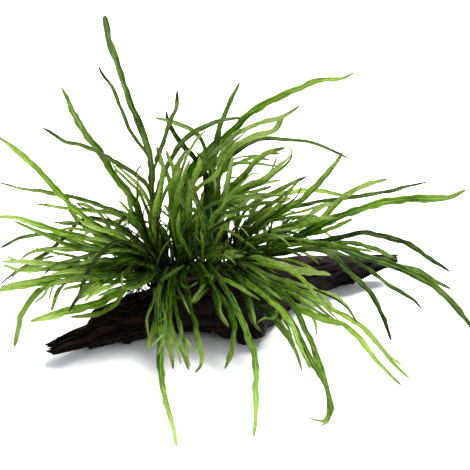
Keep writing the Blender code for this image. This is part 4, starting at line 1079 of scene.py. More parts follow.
def add_frond(pile, own, looks, spurs=()):
    """One frond from its strands: the blade, its lobes, and the spurs that the solids leave out."""
    name = own[0].name
    blades = [blade_of(own[0], (name, 0))]
    blades += [blade_of(strand, (name, k + 1), blades[0]) for k, strand in enumerate(own[1:])]
    rng = seeded(name, "look")
    tone, lime, dry = looks
    tone += rng.uniform(-TONE_SPREAD, TONE_SPREAD)
    varied = (tone, lime, dry)
    add_main(pile, blades[0], varied)
    for k, lobe in enumerate(blades[1:]):
        change = rng.uniform(-TONE_SPREAD, LOBE_LIGHTER)
        given = LOBE_LOOKS.get((name.replace("frond_", ""), k + 1))
        add_lobe(pile, lobe, given or (tone + change, lime, dry))
    for joint, side, length, share in spurs:
        add_spur(pile, blades[0], varied, rng, joint, side, length * MM, share)
    if name.startswith("frond_back") and rng.random() < SPUR_SHARE:
        add_any_spur(pile, blades[0], varied, rng)


def make_fronds(strands, leaf):
    for name in FRONDS:
        short = name.replace("frond_", "")
        pile = Pile()
        own = [strand for strand in strands if strand.name == name]
        add_frond(pile, own, LOOKS.get(short, BACK_LOOKS), SPURS.get(short, ()))
        piece = pile.make("fern_" + short, leaf, "leaf")
        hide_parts(name)


# ---------------------------------------------------------------- small leaves

# Looks that come back often: tone, lime and dryness. A small leaf got the look that matches how light it
# is where it stands, so these hold painted light and shade as well as the leaf's own colour.
GREY = (0.46, 0.2, 0.2)
DULL = (0.52, 0.1, 0.1)
BRIGHT = (0.68, 0.5, 0.2)
PALE = (0.74, 0.9, 0.1)
MIDDLE = (0.48, 0.4, 0.3)
DARK = (0.27, 0.3, 0.4)
SHADED = (0.12, 0.1, 0.9)
DRIED = (0.08, 0.0, 1.0)
# Painted shade: dark low down where these leaves hang in shade, lighter at the tip.
DEEP_SHADE = (0.14, 0.8, 0.2)         # dark low down, lighter at the tip
# The hanging fingers over the front: dark low down, which is painted shade, with lighter tips.
TINGED = (0.30, 0.55, 0.1)
TIPPED = (0.42, 0.55, 0.1)

# Each: rhizome, how far along it, width in mm, how far back the tip is in mm, its looks, route and lobes.
SMALL_LEAVES = [
    # The dense left side.
    ("left", 0.44, 1.5, 54, DRIED, [(149, 244), (134, 226), (116, 212), (98, 210), (84, 208), (76, 203)]),
    ("left", 0.40, 0.9, 46, DRIED, [(147, 245), (130, 230), (112, 221), (101, 212), (90, 213)]),
    ("left", 0.26, 2.6, 30, DEEP_SHADE, [(142, 252), (120, 240), (98, 230), (76, 223), (54, 223)]),
    ("left", 0.21, 2.4, 22, BRIGHT, [(138, 254), (114, 241), (94, 233), (76, 229), (57, 230)]),
    ("left", 0.17, 2.8, 8, MIDDLE, [(136, 258), (110, 250), (86, 244), (66, 236), (50, 230)]),
    ("left", 0.13, 2.1, 6, PALE, [(134, 260), (108, 252), (84, 249), (62, 248), (43, 250), (34, 247)]),
    ("left", 0.10, 2.0, 0, BRIGHT, [(132, 264), (104, 262), (80, 258), (60, 254), (44, 251), (32, 253),
            (20, 260)],
     (1.4, 4, [(60, 254), (46, 258), (32, 262), (16, 262)])),
    ("left", 0.05, 2.1, -4, BRIGHT, [(128, 268), (100, 266), (70, 265), (44, 265), (24, 268), (15, 274),
            (11, 280)]),
    ("left", 0.34, 2.6, 30, DARK, [(146, 248), (118, 226), (96, 218), (80, 221), (66, 236), (48, 252),
            (30, 263), (12, 275), (0, 284)]),
    ("left", 0.07, 2.3, -10, DARK, [(130, 266), (110, 262), (84, 262), (66, 262), (54, 266), (44, 275)]),
    ("front", 0.04, 2.5, -18, BRIGHT, [(154, 272), (120, 276), (90, 278), (68, 281), (55, 285), (51, 292),
            (49, 300)]),
    ("front", 0.06, 2.5, -20, BRIGHT, [(154, 272), (112, 277), (80, 280), (60, 282), (49, 287), (43, 296),
            (34, 303)]),
    ("left", 0.28, 2.9, -46, SHADED, [(146, 252), (124, 242), (109, 246), (98, 258), (89, 271), (83, 283),
            (80, 294), (74, 304), (69, 312)]),
    ("left", 0.42, 2.5, 20, DARK, [(148, 246), (144, 226), (134, 214), (124, 218), (116, 230),
            (109, 243)]),
    ("left", 0.36, 1.5, 34, MIDDLE, [(146, 248), (140, 222), (137, 200), (138, 180), (137, 171),
            (142, 166), (147, 168)]),
    ("left", 0.50, 2.4, 36, PALE, [(152, 246), (153, 222), (149, 203), (142, 190), (135, 182), (125, 173),
            (115, 165)]),
    ("left", 0.46, 1.0, 20, DRIED, [(148, 244), (144, 222), (144, 211), (149, 205), (157, 206),
            (166, 213)]),
    ("left", 0.72, 1.5, 20, MIDDLE, [(168, 248), (170, 232), (169, 212), (169, 198), (168, 184)]),
    ("left", 0.66, 2.4, 8, BRIGHT, [(162, 248), (154, 228), (155, 208), (159, 192), (161, 183)]),
    ("left", 0.23, 3.0, -4, DARK, [(140, 256), (120, 252), (98, 254), (76, 259), (60, 262)],
     (2.0, -6, [(98, 254), (82, 264), (66, 268)])),
    ("left", 0.31, 3.0, 10, DARK, [(144, 254), (126, 240), (108, 232), (90, 226)]),
    ("left", 0.19, 3.0, -14, GREY, [(136, 262), (118, 266), (98, 268), (76, 272), (58, 271)]),
    ("left", 0.12, 2.8, -20, MIDDLE, [(132, 268), (112, 272), (92, 272), (70, 272), (50, 274)]),
    ("front", 0.02, 2.6, -24, DARK, [(152, 274), (132, 277), (110, 276), (88, 277), (66, 277)]),
    ("left", 0.38, 2.6, 2, BRIGHT, [(150, 256), (134, 246), (118, 236), (100, 230), (84, 223),
            (77, 217)]),
    ("left", 0.48, 2.8, -6, DARK, [(152, 258), (136, 252), (120, 250), (104, 252), (90, 258)]),
    ("left", 0.56, 3.0, 30, BRIGHT, [(156, 250), (146, 236), (136, 222), (130, 206), (127, 194)],
     (2.0, 6, [(138, 225), (136, 210), (138, 196), (141, 186)])),
    ("left", 0.62, 2.6, 24, BRIGHT, [(158, 250), (150, 234), (140, 224), (128, 219), (116, 222)]),
    ("left", 0.02, 1.3, -6, DRIED, [(126, 272), (112, 270), (100, 280), (92, 292), (86, 302)]),
    ("left", 0.04, 1.3, -2, DRIED, [(128, 270), (120, 280), (128, 290), (134, 292)]),
    ("left", 0.15, 1.2, -8, DRIED, [(136, 262), (130, 276), (134, 286), (138, 291)]),
    # The dark band of leaves and old stalks in the middle.
    ("left", 0.60, 1.0, 6, DRIED, [(158, 250), (157, 236), (158, 224), (156, 214)]),
    ("left", 0.68, 1.0, 4, DRIED, [(162, 250), (162, 238), (159, 228), (161, 219)]),
    ("left", 0.70, 1.0, 10, DRIED, [(164, 248), (163, 236), (160, 226), (154, 221)]),
    ("left", 0.74, 1.0, 2, DRIED, [(166, 250), (164, 240), (160, 233), (157, 226)]),
    ("front", 0.28, 2.2, 16, MIDDLE, [(180, 256), (176, 240), (172, 222), (168, 206)]),
    ("front", 0.36, 2.3, 24, BRIGHT, [(188, 254), (190, 236), (188, 212), (190, 196), (196, 180)]),
    ("front", 0.44, 2.2, 12, MIDDLE, [(192, 256), (196, 238), (198, 218), (201, 202), (204, 192)]),
    ("middle", 0.24, 3.2, 16, DARK, [(204, 238), (212, 216), (218, 198), (219, 184), (213, 170),
            (204, 160), (196, 152)]),
    ("front", 0.50, 2.2, 22, GREY, [(190, 250), (191, 232), (203, 223), (217, 226), (231, 232),
            (245, 241), (257, 250)]),
    ("front", 0.70, 2.9, 20, BRIGHT, [(214, 250), (222, 230), (236, 212), (251, 198)]),
    ("middle", 0.44, 0.9, 30, DRIED, [(214, 236), (216, 218), (222, 207), (230, 205), (238, 209)]),
    ("middle", 0.62, 1.4, 30, DARK, [(222, 236), (221, 212), (224, 190), (229, 179), (238, 177)]),
    ("left", 0.88, 2.7, 34, PALE, [(178, 246), (176, 214), (178, 184), (187, 156), (196, 141),
            (206, 130)]),
    ("middle", 0.50, 1.7, 52, DARK, [(214, 236), (215, 204), (219, 166), (230, 146), (246, 132)]),
    ("middle", 0.40, 1.7, 48, MIDDLE, [(210, 236), (211, 204), (215, 166), (223, 149), (228, 138)]),
    ("front", 0.56, 2.5, 14, PALE, [(204, 256), (210, 238), (218, 224), (228, 214)]),
    ("front", 0.22, 2.5, 10, DARK, [(172, 258), (168, 240), (160, 226), (150, 216)]),
    ("front", 0.40, 2.7, 2, MIDDLE, [(190, 256), (182, 240), (178, 226), (180, 210)]),
    ("front", 0.64, 2.5, 6, DARK, [(208, 256), (204, 242), (206, 228), (212, 216)]),
    ("left", 0.92, 2.5, 14, MIDDLE, [(184, 250), (180, 232), (172, 216), (164, 204)]),
    ("left", 0.78, 2.3, 28, BRIGHT, [(174, 246), (180, 224), (186, 204), (188, 186)]),
    ("middle", 0.34, 2.3, 40, MIDDLE, [(206, 236), (200, 216), (196, 196), (186, 178)]),
    ("middle", 0.10, 2.3, 60, BRIGHT, [(192, 236), (184, 214), (186, 190), (196, 172), (212, 160)]),
    # The fan of thin curling blades to the upper right.
    ("middle", 0.46, 1.5, 58, MIDDLE, [(212, 236), (214, 204), (218, 178), (228, 163), (241, 157),
            (260, 155)]),
    ("middle", 0.42, 2.3, 26, PALE, [(210, 236), (214, 214), (223, 201), (236, 192), (250, 185),
            (262, 179), (273, 172), (283, 163), (290, 156), (291, 149), (284, 146)],
     (1.8, 4, [(262, 179), (271, 170), (277, 157)])),
    ("middle", 0.38, 2.1, 30, MIDDLE, [(208, 236), (212, 217), (221, 204), (234, 195.5), (248, 189),
            (262, 183), (275, 174), (286, 165), (292, 157), (292, 151)]),
    ("middle", 0.52, 1.7, 16, PALE, [(212, 236), (217, 215), (226, 200), (236, 189), (245, 180),
            (252, 174), (263, 173)]),
    ("middle", 0.55, 1.7, 20, MIDDLE, [(214, 236), (219, 216), (230, 202), (244, 194), (258, 190),
            (271, 186)]),
    ("middle", 0.58, 1.9, 24, PALE, [(213, 236), (217, 218), (227, 205), (240, 199), (254, 198),
            (266, 199)]),
    ("middle", 0.92, 1.4, 20, DARK, [(244, 238), (262, 224), (281, 209), (296, 197), (302, 186)]),
    ("middle", 0.88, 2.1, 14, BRIGHT, [(240, 240), (256, 225), (271, 211), (285, 198), (297, 181)],
     (1.4, 4, [(271, 211), (280, 204), (292, 198)])),
    ("middle", 0.80, 2.2, 40, MIDDLE, [(238, 236), (250, 220), (264, 208), (280, 198), (299, 181)]),
    ("right", 0.34, 2.3, 40, BRIGHT, [(246, 246), (266, 233), (284, 226), (302, 221), (320, 218),
            (338, 218)]),
    ("right", 0.26, 2.1, 30, PALE, [(244, 248), (258, 237), (276, 231), (297, 228)]),
    ("right", 0.46, 2.3, 24, MIDDLE, [(248, 248), (262, 242), (282, 239), (302, 240), (319, 243)]),
    ("right", 0.56, 2.1, 18, MIDDLE, [(252, 252), (268, 247), (288, 244), (308, 246), (323, 249)]),
    ("right", 0.70, 2.1, 20, PALE, [(256, 254), (268, 254), (284, 252), (300, 250)]),
    ("right", 0.06, 2.4, 30, DARK, [(240, 250), (250, 236), (262, 226), (276, 218)]),
    ("right", 0.18, 2.2, 16, BRIGHT, [(240, 252), (254, 243), (270, 238), (290, 236)]),
    ("middle", 0.94, 1.9, 56, MIDDLE, [(244, 236), (262, 225), (284, 216), (304, 211), (322, 205),
            (333, 202)]),
    ("middle", 0.78, 1.2, 10, PALE, [(236, 238), (240, 222), (246, 208), (258, 198), (268, 190)]),
    # The tangle over the front of the wood, right to left.
    ("front", 0.95, 1.9, -30, DARK, [(238, 262), (250, 268), (262, 276), (268, 282)]),
    ("front", 0.97, 2.4, -16, BRIGHT, [(240, 262), (258, 264), (278, 268), (294, 273), (304, 281),
            (314, 294), (326, 308), (338, 320)]),
    ("front", 0.91, 2.2, -36, DARK, [(236, 264), (254, 276), (274, 284), (294, 290), (310, 299),
            (322, 310), (334, 319)]),
    ("front", 0.89, 2.6, -46, MIDDLE, [(232, 266), (248, 283), (268, 293), (288, 303), (302, 312),
            (318, 319), (334, 324), (347, 325)]),
    ("front", 0.82, 3.2, -84, BRIGHT, [(226, 264), (248, 284), (274, 304), (291, 325), (300, 348),
            (311, 369)]),
    ("front", 0.79, 2.1, -40, DARK, [(224, 264), (244, 284), (264, 296), (277, 308), (273, 318),
            (264, 318), (257, 323)]),
    ("front", 0.74, 2.2, -34, DEEP_SHADE, [(220, 266), (236, 274), (245, 288), (251, 304), (256, 325)]),
    ("front", 0.85, 2.4, -44, DEEP_SHADE, [(230, 266), (250, 280), (268, 296), (282, 316), (292, 336)]),
    ("front", 0.98, 2.4, -26, GREY, [(242, 262), (258, 270), (276, 278), (296, 283), (312, 290)]),
    ("right", 0.10, 2.2, -34, MIDDLE, [(240, 258), (256, 272), (272, 282), (292, 294), (308, 306),
            (330, 318)]),
    ("right", 0.30, 1.2, -22, DRIED, [(248, 258), (270, 272), (300, 285), (320, 292), (334, 298),
            (346, 307), (357, 322)]),
    ("front", 0.72, 2.4, -26, DEEP_SHADE, [(216, 266), (232, 270), (250, 278), (266, 288), (282, 300)]),
    ("front", 0.52, 2.8, -20, TIPPED, [(200, 266), (190, 272), (204, 275), (224, 280), (242, 289),
            (260, 300)]),
    ("front", 0.05, 2.6, -10, DARK, [(152, 274), (147, 284), (154, 286), (164, 279), (174, 272),
            (184, 265)]),
    ("front", 0.12, 1.7, -14, DARK, [(160, 274), (164, 287), (174, 296), (186, 300)]),
    ("front", 0.60, 1.7, -14, MIDDLE, [(210, 266), (208, 280), (200, 290), (191, 301)]),
    ("front", 0.66, 1.9, -18, DARK, [(216, 266), (214, 280), (204, 293), (194, 304)]),
    ("front", 0.68, 1.2, -8, DEEP_SHADE, [(220, 262), (216, 270), (211, 282)]),
    ("front", 0.42, 2.0, -12, TINGED, [(190, 266), (180, 280), (187, 288), (198, 282)]),
    ("front", 0.26, 1.6, -48, TIPPED, [(176, 268), (171, 294), (170, 318), (174, 338), (178, 352),
            (181, 364)],
     (1.3, -50, [(174, 338), (181, 346), (186, 353), (190, 367)])),
    ("front", 0.30, 1.6, -40, TINGED, [(178, 268), (174, 292), (176, 312), (181, 324), (181, 336),
            (177, 349)]),
    ("front", 0.21, 1.9, -46, TINGED, [(172, 268), (167, 294), (166, 316), (164, 334), (160, 350)],
     (1.3, -46, [(164, 334), (158, 340), (153, 345), (147, 349)])),
    ("front", 0.18, 1.2, -36, TINGED, [(170, 268), (164, 290), (163, 308), (165, 317), (159, 322)]),
    ("front", 0.47, 1.9, -34, TIPPED, [(200, 264), (212, 284), (219, 298), (220, 311), (226, 321),
            (229, 327)]),
    ("front", 0.20, 2.6, -30, DEEP_SHADE, [(172, 270), (166, 286), (164, 302), (165, 322), (168, 338)]),
    ("front", 0.14, 1.8, -34, TINGED, [(166, 270), (157, 284), (154, 300), (149, 312), (147, 324),
            (149, 336)]),
    ("front", 0.34, 1.6, -30, DEEP_SHADE, [(184, 268), (178, 286), (184, 300), (190, 314)]),
    # Dark leaves low between the rhizomes, in front of the floor that would show there; their darkness is
    # painted shade, standing in for the shade down there.
    ("front", 0.38, 3.0, 8, DARK, [(186, 264), (196, 255), (210, 250), (228, 247)]),
    ("front", 0.46, 3.2, 6, MIDDLE, [(194, 264), (206, 257), (220, 253), (238, 251)]),
    ("front", 0.54, 3.2, 2, MIDDLE, [(202, 265), (214, 260), (228, 257), (244, 256)]),
    ("front", 0.33, 3.0, 12, DARK, [(182, 262), (188, 250), (198, 243), (212, 240)]),
    ("middle", 0.16, 3.2, 24, DARK, [(200, 242), (206, 248), (214, 254), (222, 260)]),
    ("middle", 0.30, 3.2, 20, MIDDLE, [(206, 240), (214, 248), (224, 254), (236, 258)]),
    ("middle", 0.48, 3.0, 20, DARK, [(216, 240), (226, 247), (238, 252), (250, 254)]),
    ("left", 0.80, 3.0, 12, DARK, [(172, 252), (180, 242), (190, 236), (202, 234)]),
    # Broader leaves among them.
    ("left", 0.09, 3.5, -24, BRIGHT, [(130, 268), (112, 270), (92, 272), (68, 275.5), (40, 279.5),
            (15, 284), (0, 287)]),
    ("left", 0.07, 3.6, -34, MIDDLE, [(130, 270), (118, 274), (104, 281), (92, 289), (80, 299)]),
    ("left", 0.11, 3.2, -30, BRIGHT, [(132, 268), (122, 276), (112, 285), (98, 292), (84, 301)]),
    ("left", 0.52, 2.2, 40, PALE, [(150, 246), (150, 222), (144, 203), (138, 190), (128, 181), (117, 170),
            (112, 162)]),
    ("middle", 0.06, 3.4, 30, DARK, [(184, 250), (180, 224), (182, 206), (189, 191), (198, 177),
            (208, 163), (220, 150)]),
    ("left", 0.86, 3.4, 20, BRIGHT, [(176, 250), (174, 226), (176, 206), (179, 190), (184, 175),
            (190, 160)]),
    ("left", 0.30, 2.4, 26, MIDDLE, [(142, 252), (122, 238), (102, 228), (84, 223), (68, 224),
            (55, 222)]),
    ("left", 0.33, 2.8, 16, DARK, [(146, 252), (134, 238), (122, 229), (108, 223), (92, 219)]),
    ("left", 0.37, 2.8, 8, DARK, [(148, 254), (138, 243), (128, 236), (114, 231), (100, 227)]),
    ("left", 0.27, 3.0, 0, DEEP_SHADE, [(142, 256), (130, 248), (116, 243), (100, 240), (84, 238)]),
    ("left", 0.22, 3.0, -6, DARK, [(138, 258), (124, 254), (108, 250), (92, 249), (76, 250)]),
    ("left", 0.16, 3.0, -14, DARK, [(134, 264), (120, 262), (104, 260), (88, 262), (72, 266)]),
    ("left", 0.54, 2.6, 6, DARK, [(154, 252), (146, 240), (138, 228), (128, 216), (120, 210)]),
    ("left", 0.43, 2.6, 20, MIDDLE, [(150, 250), (142, 236), (136, 222), (126, 208), (118, 200)]),
    ("front", 0.07, 2.8, -26, DARK, [(154, 272), (140, 280), (126, 286), (112, 290), (98, 296)]),
    ("front", 0.09, 2.6, -20, DARK, [(156, 272), (146, 282), (134, 288), (122, 290)]),
    ("right", 0.40, 2.4, 30, MIDDLE, [(246, 250), (262, 240), (280, 230), (298, 221), (312, 214)]),
    ("middle", 0.84, 2.4, 34, BRIGHT, [(240, 238), (250, 224), (264, 213), (280, 206), (300, 202)]),
    ("right", 0.62, 2.4, 14, GREY, [(254, 252), (270, 250), (286, 250), (302, 256)]),
    ("right", 0.84, 2.4, 4, MIDDLE, [(258, 256), (276, 258), (296, 262), (316, 270)]),
    ("right", 0.90, 2.6, -6, BRIGHT, [(260, 258), (280, 266), (302, 280), (320, 294), (333, 306)]),
    ("right", 0.78, 2.4, 20, MIDDLE, [(256, 254), (282, 247), (312, 243), (342, 246), (374, 252)]),
    ("front", 0.30, 2.4, 12, GREY, [(180, 250), (181, 234), (188, 222), (198, 213), (212, 205),
            (232, 198), (258, 195), (284, 196)]),
    ("front", 0.34, 2.6, 14, DARK, [(184, 252), (186, 238), (194, 226), (206, 218), (224, 213),
            (244, 209), (264, 203), (286, 202)]),
    ("front", 0.48, 2.4, 10, DARK, [(196, 254), (202, 240), (214, 228), (230, 220), (248, 216),
            (266, 208)]),
    ("left", 0.90, 3.4, 34, DULL, [(180, 248), (178, 222), (180, 202), (187, 186), (196, 172), (207, 160),
            (220, 148), (232, 137), (244, 128)]),
    ("front", 0.24, 1.8, -50, TINGED, [(174, 268), (166, 294), (164, 318), (166, 338), (170, 354),
            (173, 366)],
     (1.3, -50, [(166, 338), (161, 346), (158, 355)])),
    ("front", 0.28, 1.8, -46, TIPPED, [(176, 268), (174, 294), (178, 318), (184, 338), (187, 352),
            (188, 368)],
     (1.2, -46, [(184, 338), (190, 345), (194, 353)])),
    ("front", 0.16, 1.8, -44, TIPPED, [(168, 268), (160, 294), (158, 316), (155, 334), (148, 348)]),
]

SMALL = {}                      # the small leaves' own fronds
SMALL_LOOKS = {}
for number, (rhizome, along, width, tip_back, looks, route, *lobes) in enumerate(SMALL_LEAVES):
    name = "small_%03d" % number
    SMALL[name] = (rhizome, along, width, tip_back, route, lobes)
    SMALL_LOOKS[name] = looks

# How many more leaves grow on each rhizome, all round and towards the back.
LEAVES_GROWN = {"left": (22, 14), "front": (20, 6), "middle": (20, 30), "right": (12, 12)}

# ---------------------------------------------------------------- driftwood

WOOD_ROWS = 380       # fine rings along the wood
WOOD_COLUMNS = 230    # and points round each
END_RINGS = 9                   # from a torn end's rim to its middle
THIN_WOOD = 7 * MM              # below this half height the relief is weaker,
THIN_RELIEF = 0.35              # down to this share
SPLIT_WIDTH = 0.13              # of the cracks along the grain, as noise
STEP_DEPTH = 2.6                # how far the lower edge is broken off, in millimetres
CLEFT_RIGHT = 7 * MM            # where the front foot is split into two lobes
CLEFT_WIDTH = 2.2 * MM
CLEFT_TOP = 6 * MM              # it is whole up to here and fades above
CLEFT_FADE = 14 * MM
CLEFT_DEPTH = 5                 # millimetres
ARCH_LEFT = 6 * MM              # the lower edge beside that foot is lifted between these,
ARCH_RIGHT = 24 * MM
ARCH_BACK = 22 * MM             # in front of this
ARCH_HEIGHT = 12 * MM           # and below this,
ARCH_LIFT = 6                   # by so many millimetres
EDGE_WINDOW = 7                 # rings that the outline is evened over before it is fitted
HIDDEN_FADE = 12                # picture units that the fit takes to fade out under the leaves
FEET_FADE = 3 * MM              # height over which the fit turns from back and forth to up and down
TORN_REACH = 9 * MM             # how far the tearing reaches into the wood
TORN_JAG = 2.3                  # millimetres that its strips stick out,
TORN_BACK = 0.6                 # less so many that all of them are short
TORN_CELLS = ((64, 23), (70, 19))       # fine and coarse strips round the left and the right end
HOLLOW = 1.6                    # millimetres that a torn end is hollowed
HOLLOW_ROUGH = 1.3
END_WORN = 0.35                 # how light the torn ends are
TIP_WORN = 0.3

# The wood's outline in the picture, as drawn: its upper edge and its lower edge.
UPPER_EDGE = [(42, 345.5), (46, 342.5), (57, 338), (69, 331.5), (80, 327), (87.5, 323.7), (88.2, 320.5),
              (90.5, 319), (91.3, 312), (94, 309.5), (105, 305), (117, 300), (130, 293.5), (145, 290.5),
              (282, 258), (293, 256), (308, 255), (330, 255.5), (387, 254.3), (402, 254.3)]
LOWER_EDGE = [(43, 347), (47, 349.5), (50, 352.5), (53.3, 355), (63, 353), (78, 350), (86.7, 347.5),
              (88.5, 349.5), (90.3, 349.8), (93, 348.6), (101.7, 347), (115, 343.3), (121.7, 341.7),
              (122.5, 343.7), (130, 344), (131.5, 342), (134, 340.8), (146.7, 338), (160, 335.5),
              (181.7, 332.3), (196.7, 332), (211.7, 333.2), (212.5, 331.2), (214, 331.5), (215, 334),
              (223, 338), (230, 339.5), (236.7, 340.7), (238.5, 344), (245, 346), (247.5, 343),
              (250, 340.5), (256.7, 338), (263, 335.7), (266, 330.7), (268, 327), (275, 326), (279, 322),
              (286.7, 314.7), (291.7, 308), (300, 303), (312, 297), (326.7, 291), (343.3, 286.7),
              (358, 282), (370, 275.5), (385, 268.8), (402, 260)]
HIDDEN_EDGE = (145, 282)        # the stretch of the upper edge that leaves hide


def grid_noise(rng, cells_along, cells_around, rows=WOOD_ROWS):
    """Smooth noise between -1 and 1 on a sheet whose columns close on themselves."""
    knots = rng.uniform(-1, 1, (cells_along + 3, cells_around))
    along = np.linspace(0, cells_along, rows)
    around = np.linspace(0, cells_around, WOOD_COLUMNS, endpoint=False)
    i, j = np.floor(along).astype(int), np.floor(around).astype(int)
    s, t = eased(along - i)[:, None], eased(around - j)[None, :]
    j2 = (j + 1) % cells_around
    low = knots[i][:, j] * (1 - t) + knots[i][:, j2] * t
    high = knots[i + 1][:, j] * (1 - t) + knots[i + 1][:, j2] * t
    return low * (1 - s) + high * s


def rim_noise(rng, cells):
    return grid_noise(rng, 1, cells, 1)[0]


def terraces(height, steps, sharpness):
    """Noise made into flat ledges with steep edges between them."""
    scaled = (height + 1) / 2 * steps
    whole = np.floor(scaled)
    part = np.clip((scaled - whole - 0.5) * sharpness + 0.5, 0, 1)
    return (whole + part) / steps * 2 - 1


def base_skin():
    """The solid's rings as a smooth fine skin, and its outward directions."""
    rings = catmull(wood_table(), np.linspace(0, WOOD_RINGS - 1, WOOD_ROWS))
    closed = np.concatenate([rings[:, -1:], rings, rings[:, :2]], axis=1).transpose(1, 0, 2)
    around = np.linspace(0, WOOD_SIDES, WOOD_COLUMNS, endpoint=False) + 1
    skin = catmull(closed, around).transpose(1, 0, 2)
    side = np.roll(skin, -1, axis=1) - np.roll(skin, 1, axis=1)
    return skin, units(np.cross(side, np.gradient(skin, axis=0)))


def wood_relief(rng):
    """Ridges along the grain, ledges, splits and pits: how far each point stands out, and how light it is,
    which is lighter on ridges and ledges (partly wear, partly painted highlight) and darker in the splits
    and pits (painted shade).
    """
    ridges = 0.55 * grid_noise(rng, 9, 44) + 0.40 * grid_noise(rng, 22, 90)
    fibres = grid_noise(rng, 40, 115)
    ledge = terraces(grid_noise(rng, 7, 15) * 0.75 + 0.25 * grid_noise(rng, 26, 40), 4, 7)
    split = np.abs(grid_noise(rng, 6, 30)) + 0.35 * np.abs(grid_noise(rng, 18, 60))
    split = np.clip(1 - split / SPLIT_WIDTH, 0, 1)
    pits = np.clip(grid_noise(rng, 20, 26) - 0.62, 0, 1) * 3
    relief = 0.8 * ridges + 0.25 * fibres + 1.5 * ledge - 2.4 * split - 1.2 * pits - 0.2
    return relief * MM, np.clip(0.5 + 0.35 * ridges + 0.30 * ledge - 0.8 * split - 0.3 * pits, 0, 1)


def break_edges(skin, normal, rng):
    """Break the lower edge off in steps, split the front foot in two and lift the edge beside it."""
    x, y, z = np.moveaxis(skin, 2, 0)
    below = np.clip(0.25 - normal[:, :, 2], 0, 1)
    z += below * (terraces(grid_noise(rng, 19, 7), 3, 9) * STEP_DEPTH * MM)
    cleft = np.exp(-((x - CLEFT_RIGHT) / CLEFT_WIDTH) ** 2) * np.clip(-normal[:, :, 1], 0, 1)
    cleft *= np.clip(1 - (z - CLEFT_TOP) / CLEFT_FADE, 0, 1)
    y += cleft * CLEFT_DEPTH * MM
    arch = np.clip((x - ARCH_LEFT) / (3 * MM), 0, 1) * np.clip((ARCH_RIGHT - x) / (6 * MM), 0, 1)
    arch *= np.clip((ARCH_BACK - y) / (10 * MM), 0, 1) * below
    z += arch * np.clip(1 - z / ARCH_HEIGHT, 0, 1) * ARCH_LIFT * MM


def fit_edges(skin):
    """Move the skin until its outline in the picture follows the drawn edges."""
    across, down, _ = to_picture(np.moveaxis(skin, -1, 0))
    window = np.ones(EDGE_WINDOW) / EDGE_WINDOW
    top, low = [np.convolve(np.pad(edge, EDGE_WINDOW // 2, mode="edge"), window, mode="valid")[:, None]
                for edge in (down.min(axis=1), down.max(axis=1))]
    goal_top = np.interp(across, *zip(*UPPER_EDGE))
    goal_low = np.interp(across, *zip(*LOWER_EDGE))
    hidden = (np.clip((across - HIDDEN_EDGE[0]) / HIDDEN_FADE, 0, 1)
              * np.clip((HIDDEN_EDGE[1] - across) / HIDDEN_FADE, 0, 1))
    goal_top = goal_top * (1 - hidden) + top * hidden
    share = (down - top) / (low - top)
    lift = (down - goal_top - share * (goal_low - goal_top)) * PICTURE_UNIT
    # Near the floor the skin moves back and forth instead of up and down, so that its feet stay.
    floating = np.clip(skin[:, :, 2].min(axis=1) / FEET_FADE, 0, 1)[:, None]
    upright = np.maximum(floating, np.clip(1.5 - 2 * share, 0, 1))
    skin[:, :, 2] += lift * upright / COS
    skin[:, :, 1] += lift * (1 - upright) / SIN


def tear_ends(skin, rng):
    """Break each strip of grain off at its own place at both ends."""
    jags = [rim_noise(rng, fine) + 0.6 * rim_noise(rng, coarse) for fine, coarse in TORN_CELLS]
    for rim, sign, jag in ((skin[0], -1, jags[0]), (skin[-1], 1, jags[1])):
        near = np.clip(1 - np.abs(skin[:, :, 0] - rim[:, 0].mean()) / TORN_REACH, 0, 1) ** 1.5
        skin[:, :, 0] += sign * near * (jag * TORN_JAG * MM - TORN_BACK * MM)[None, :]


def end_cap(rim, sign, rng):
    """The rings that close a torn end, hollowed and rough."""
    centre = rim.mean(axis=0)
    cap = []
    for k in range(1, END_RINGS):
        share = 1 - k / END_RINGS
        rough = rim_noise(rng, max(6, 40 - 4 * k))
        ring = centre + (rim - centre) * share
        ring[:, 0] -= sign * (HOLLOW * (1 - share) + HOLLOW_ROUGH * rough * share) * MM
        cap.append(ring)
    return cap


def make_wood(material):
    """The wood; gives back a tree for finding the nearest place on it."""
    rng = seeded("driftwood")
    skin, normal = base_skin()
    relief, wear_and_shade = wood_relief(rng)
    half_height = (skin[:, :, 2].max(axis=1) - skin[:, :, 2].min(axis=1)) / 2
    relief *= np.clip(half_height / THIN_WOOD, THIN_RELIEF, 1)[:, None]
    skin = skin + normal * relief[:, :, None]
    break_edges(skin, normal, rng)
    fit_edges(skin)
    tear_ends(skin, rng)
    caps = [np.array(end_cap(rim, sign, rng)) for rim, sign in ((skin[0], -1), (skin[-1], 1))]
    rings = np.concatenate([caps[0][::-1], skin, caps[1]])
    rings[:, :, 2] = np.maximum(rings[:, :, 2], 0)
    wear_and_shade = np.pad(wear_and_shade, ((END_RINGS - 1, END_RINGS - 1), (0, 0)), constant_values=END_WORN)
    tips = (rings[0].mean(axis=0), rings[-1].mean(axis=0))
    pile = Pile()
    pile.skin(rings, tips, np.r_[wear_and_shade.ravel(), TIP_WORN, TIP_WORN], 0)
    piece = pile.make("weathered_wood", material, "driftwood")
    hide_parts("driftwood")
    return BVHTree.FromPolygons(np.concatenate(pile.verts).tolist(), np.concatenate(pile.faces).tolist())


# ---------------------------------------------------------------- rhizomes, scales and roots

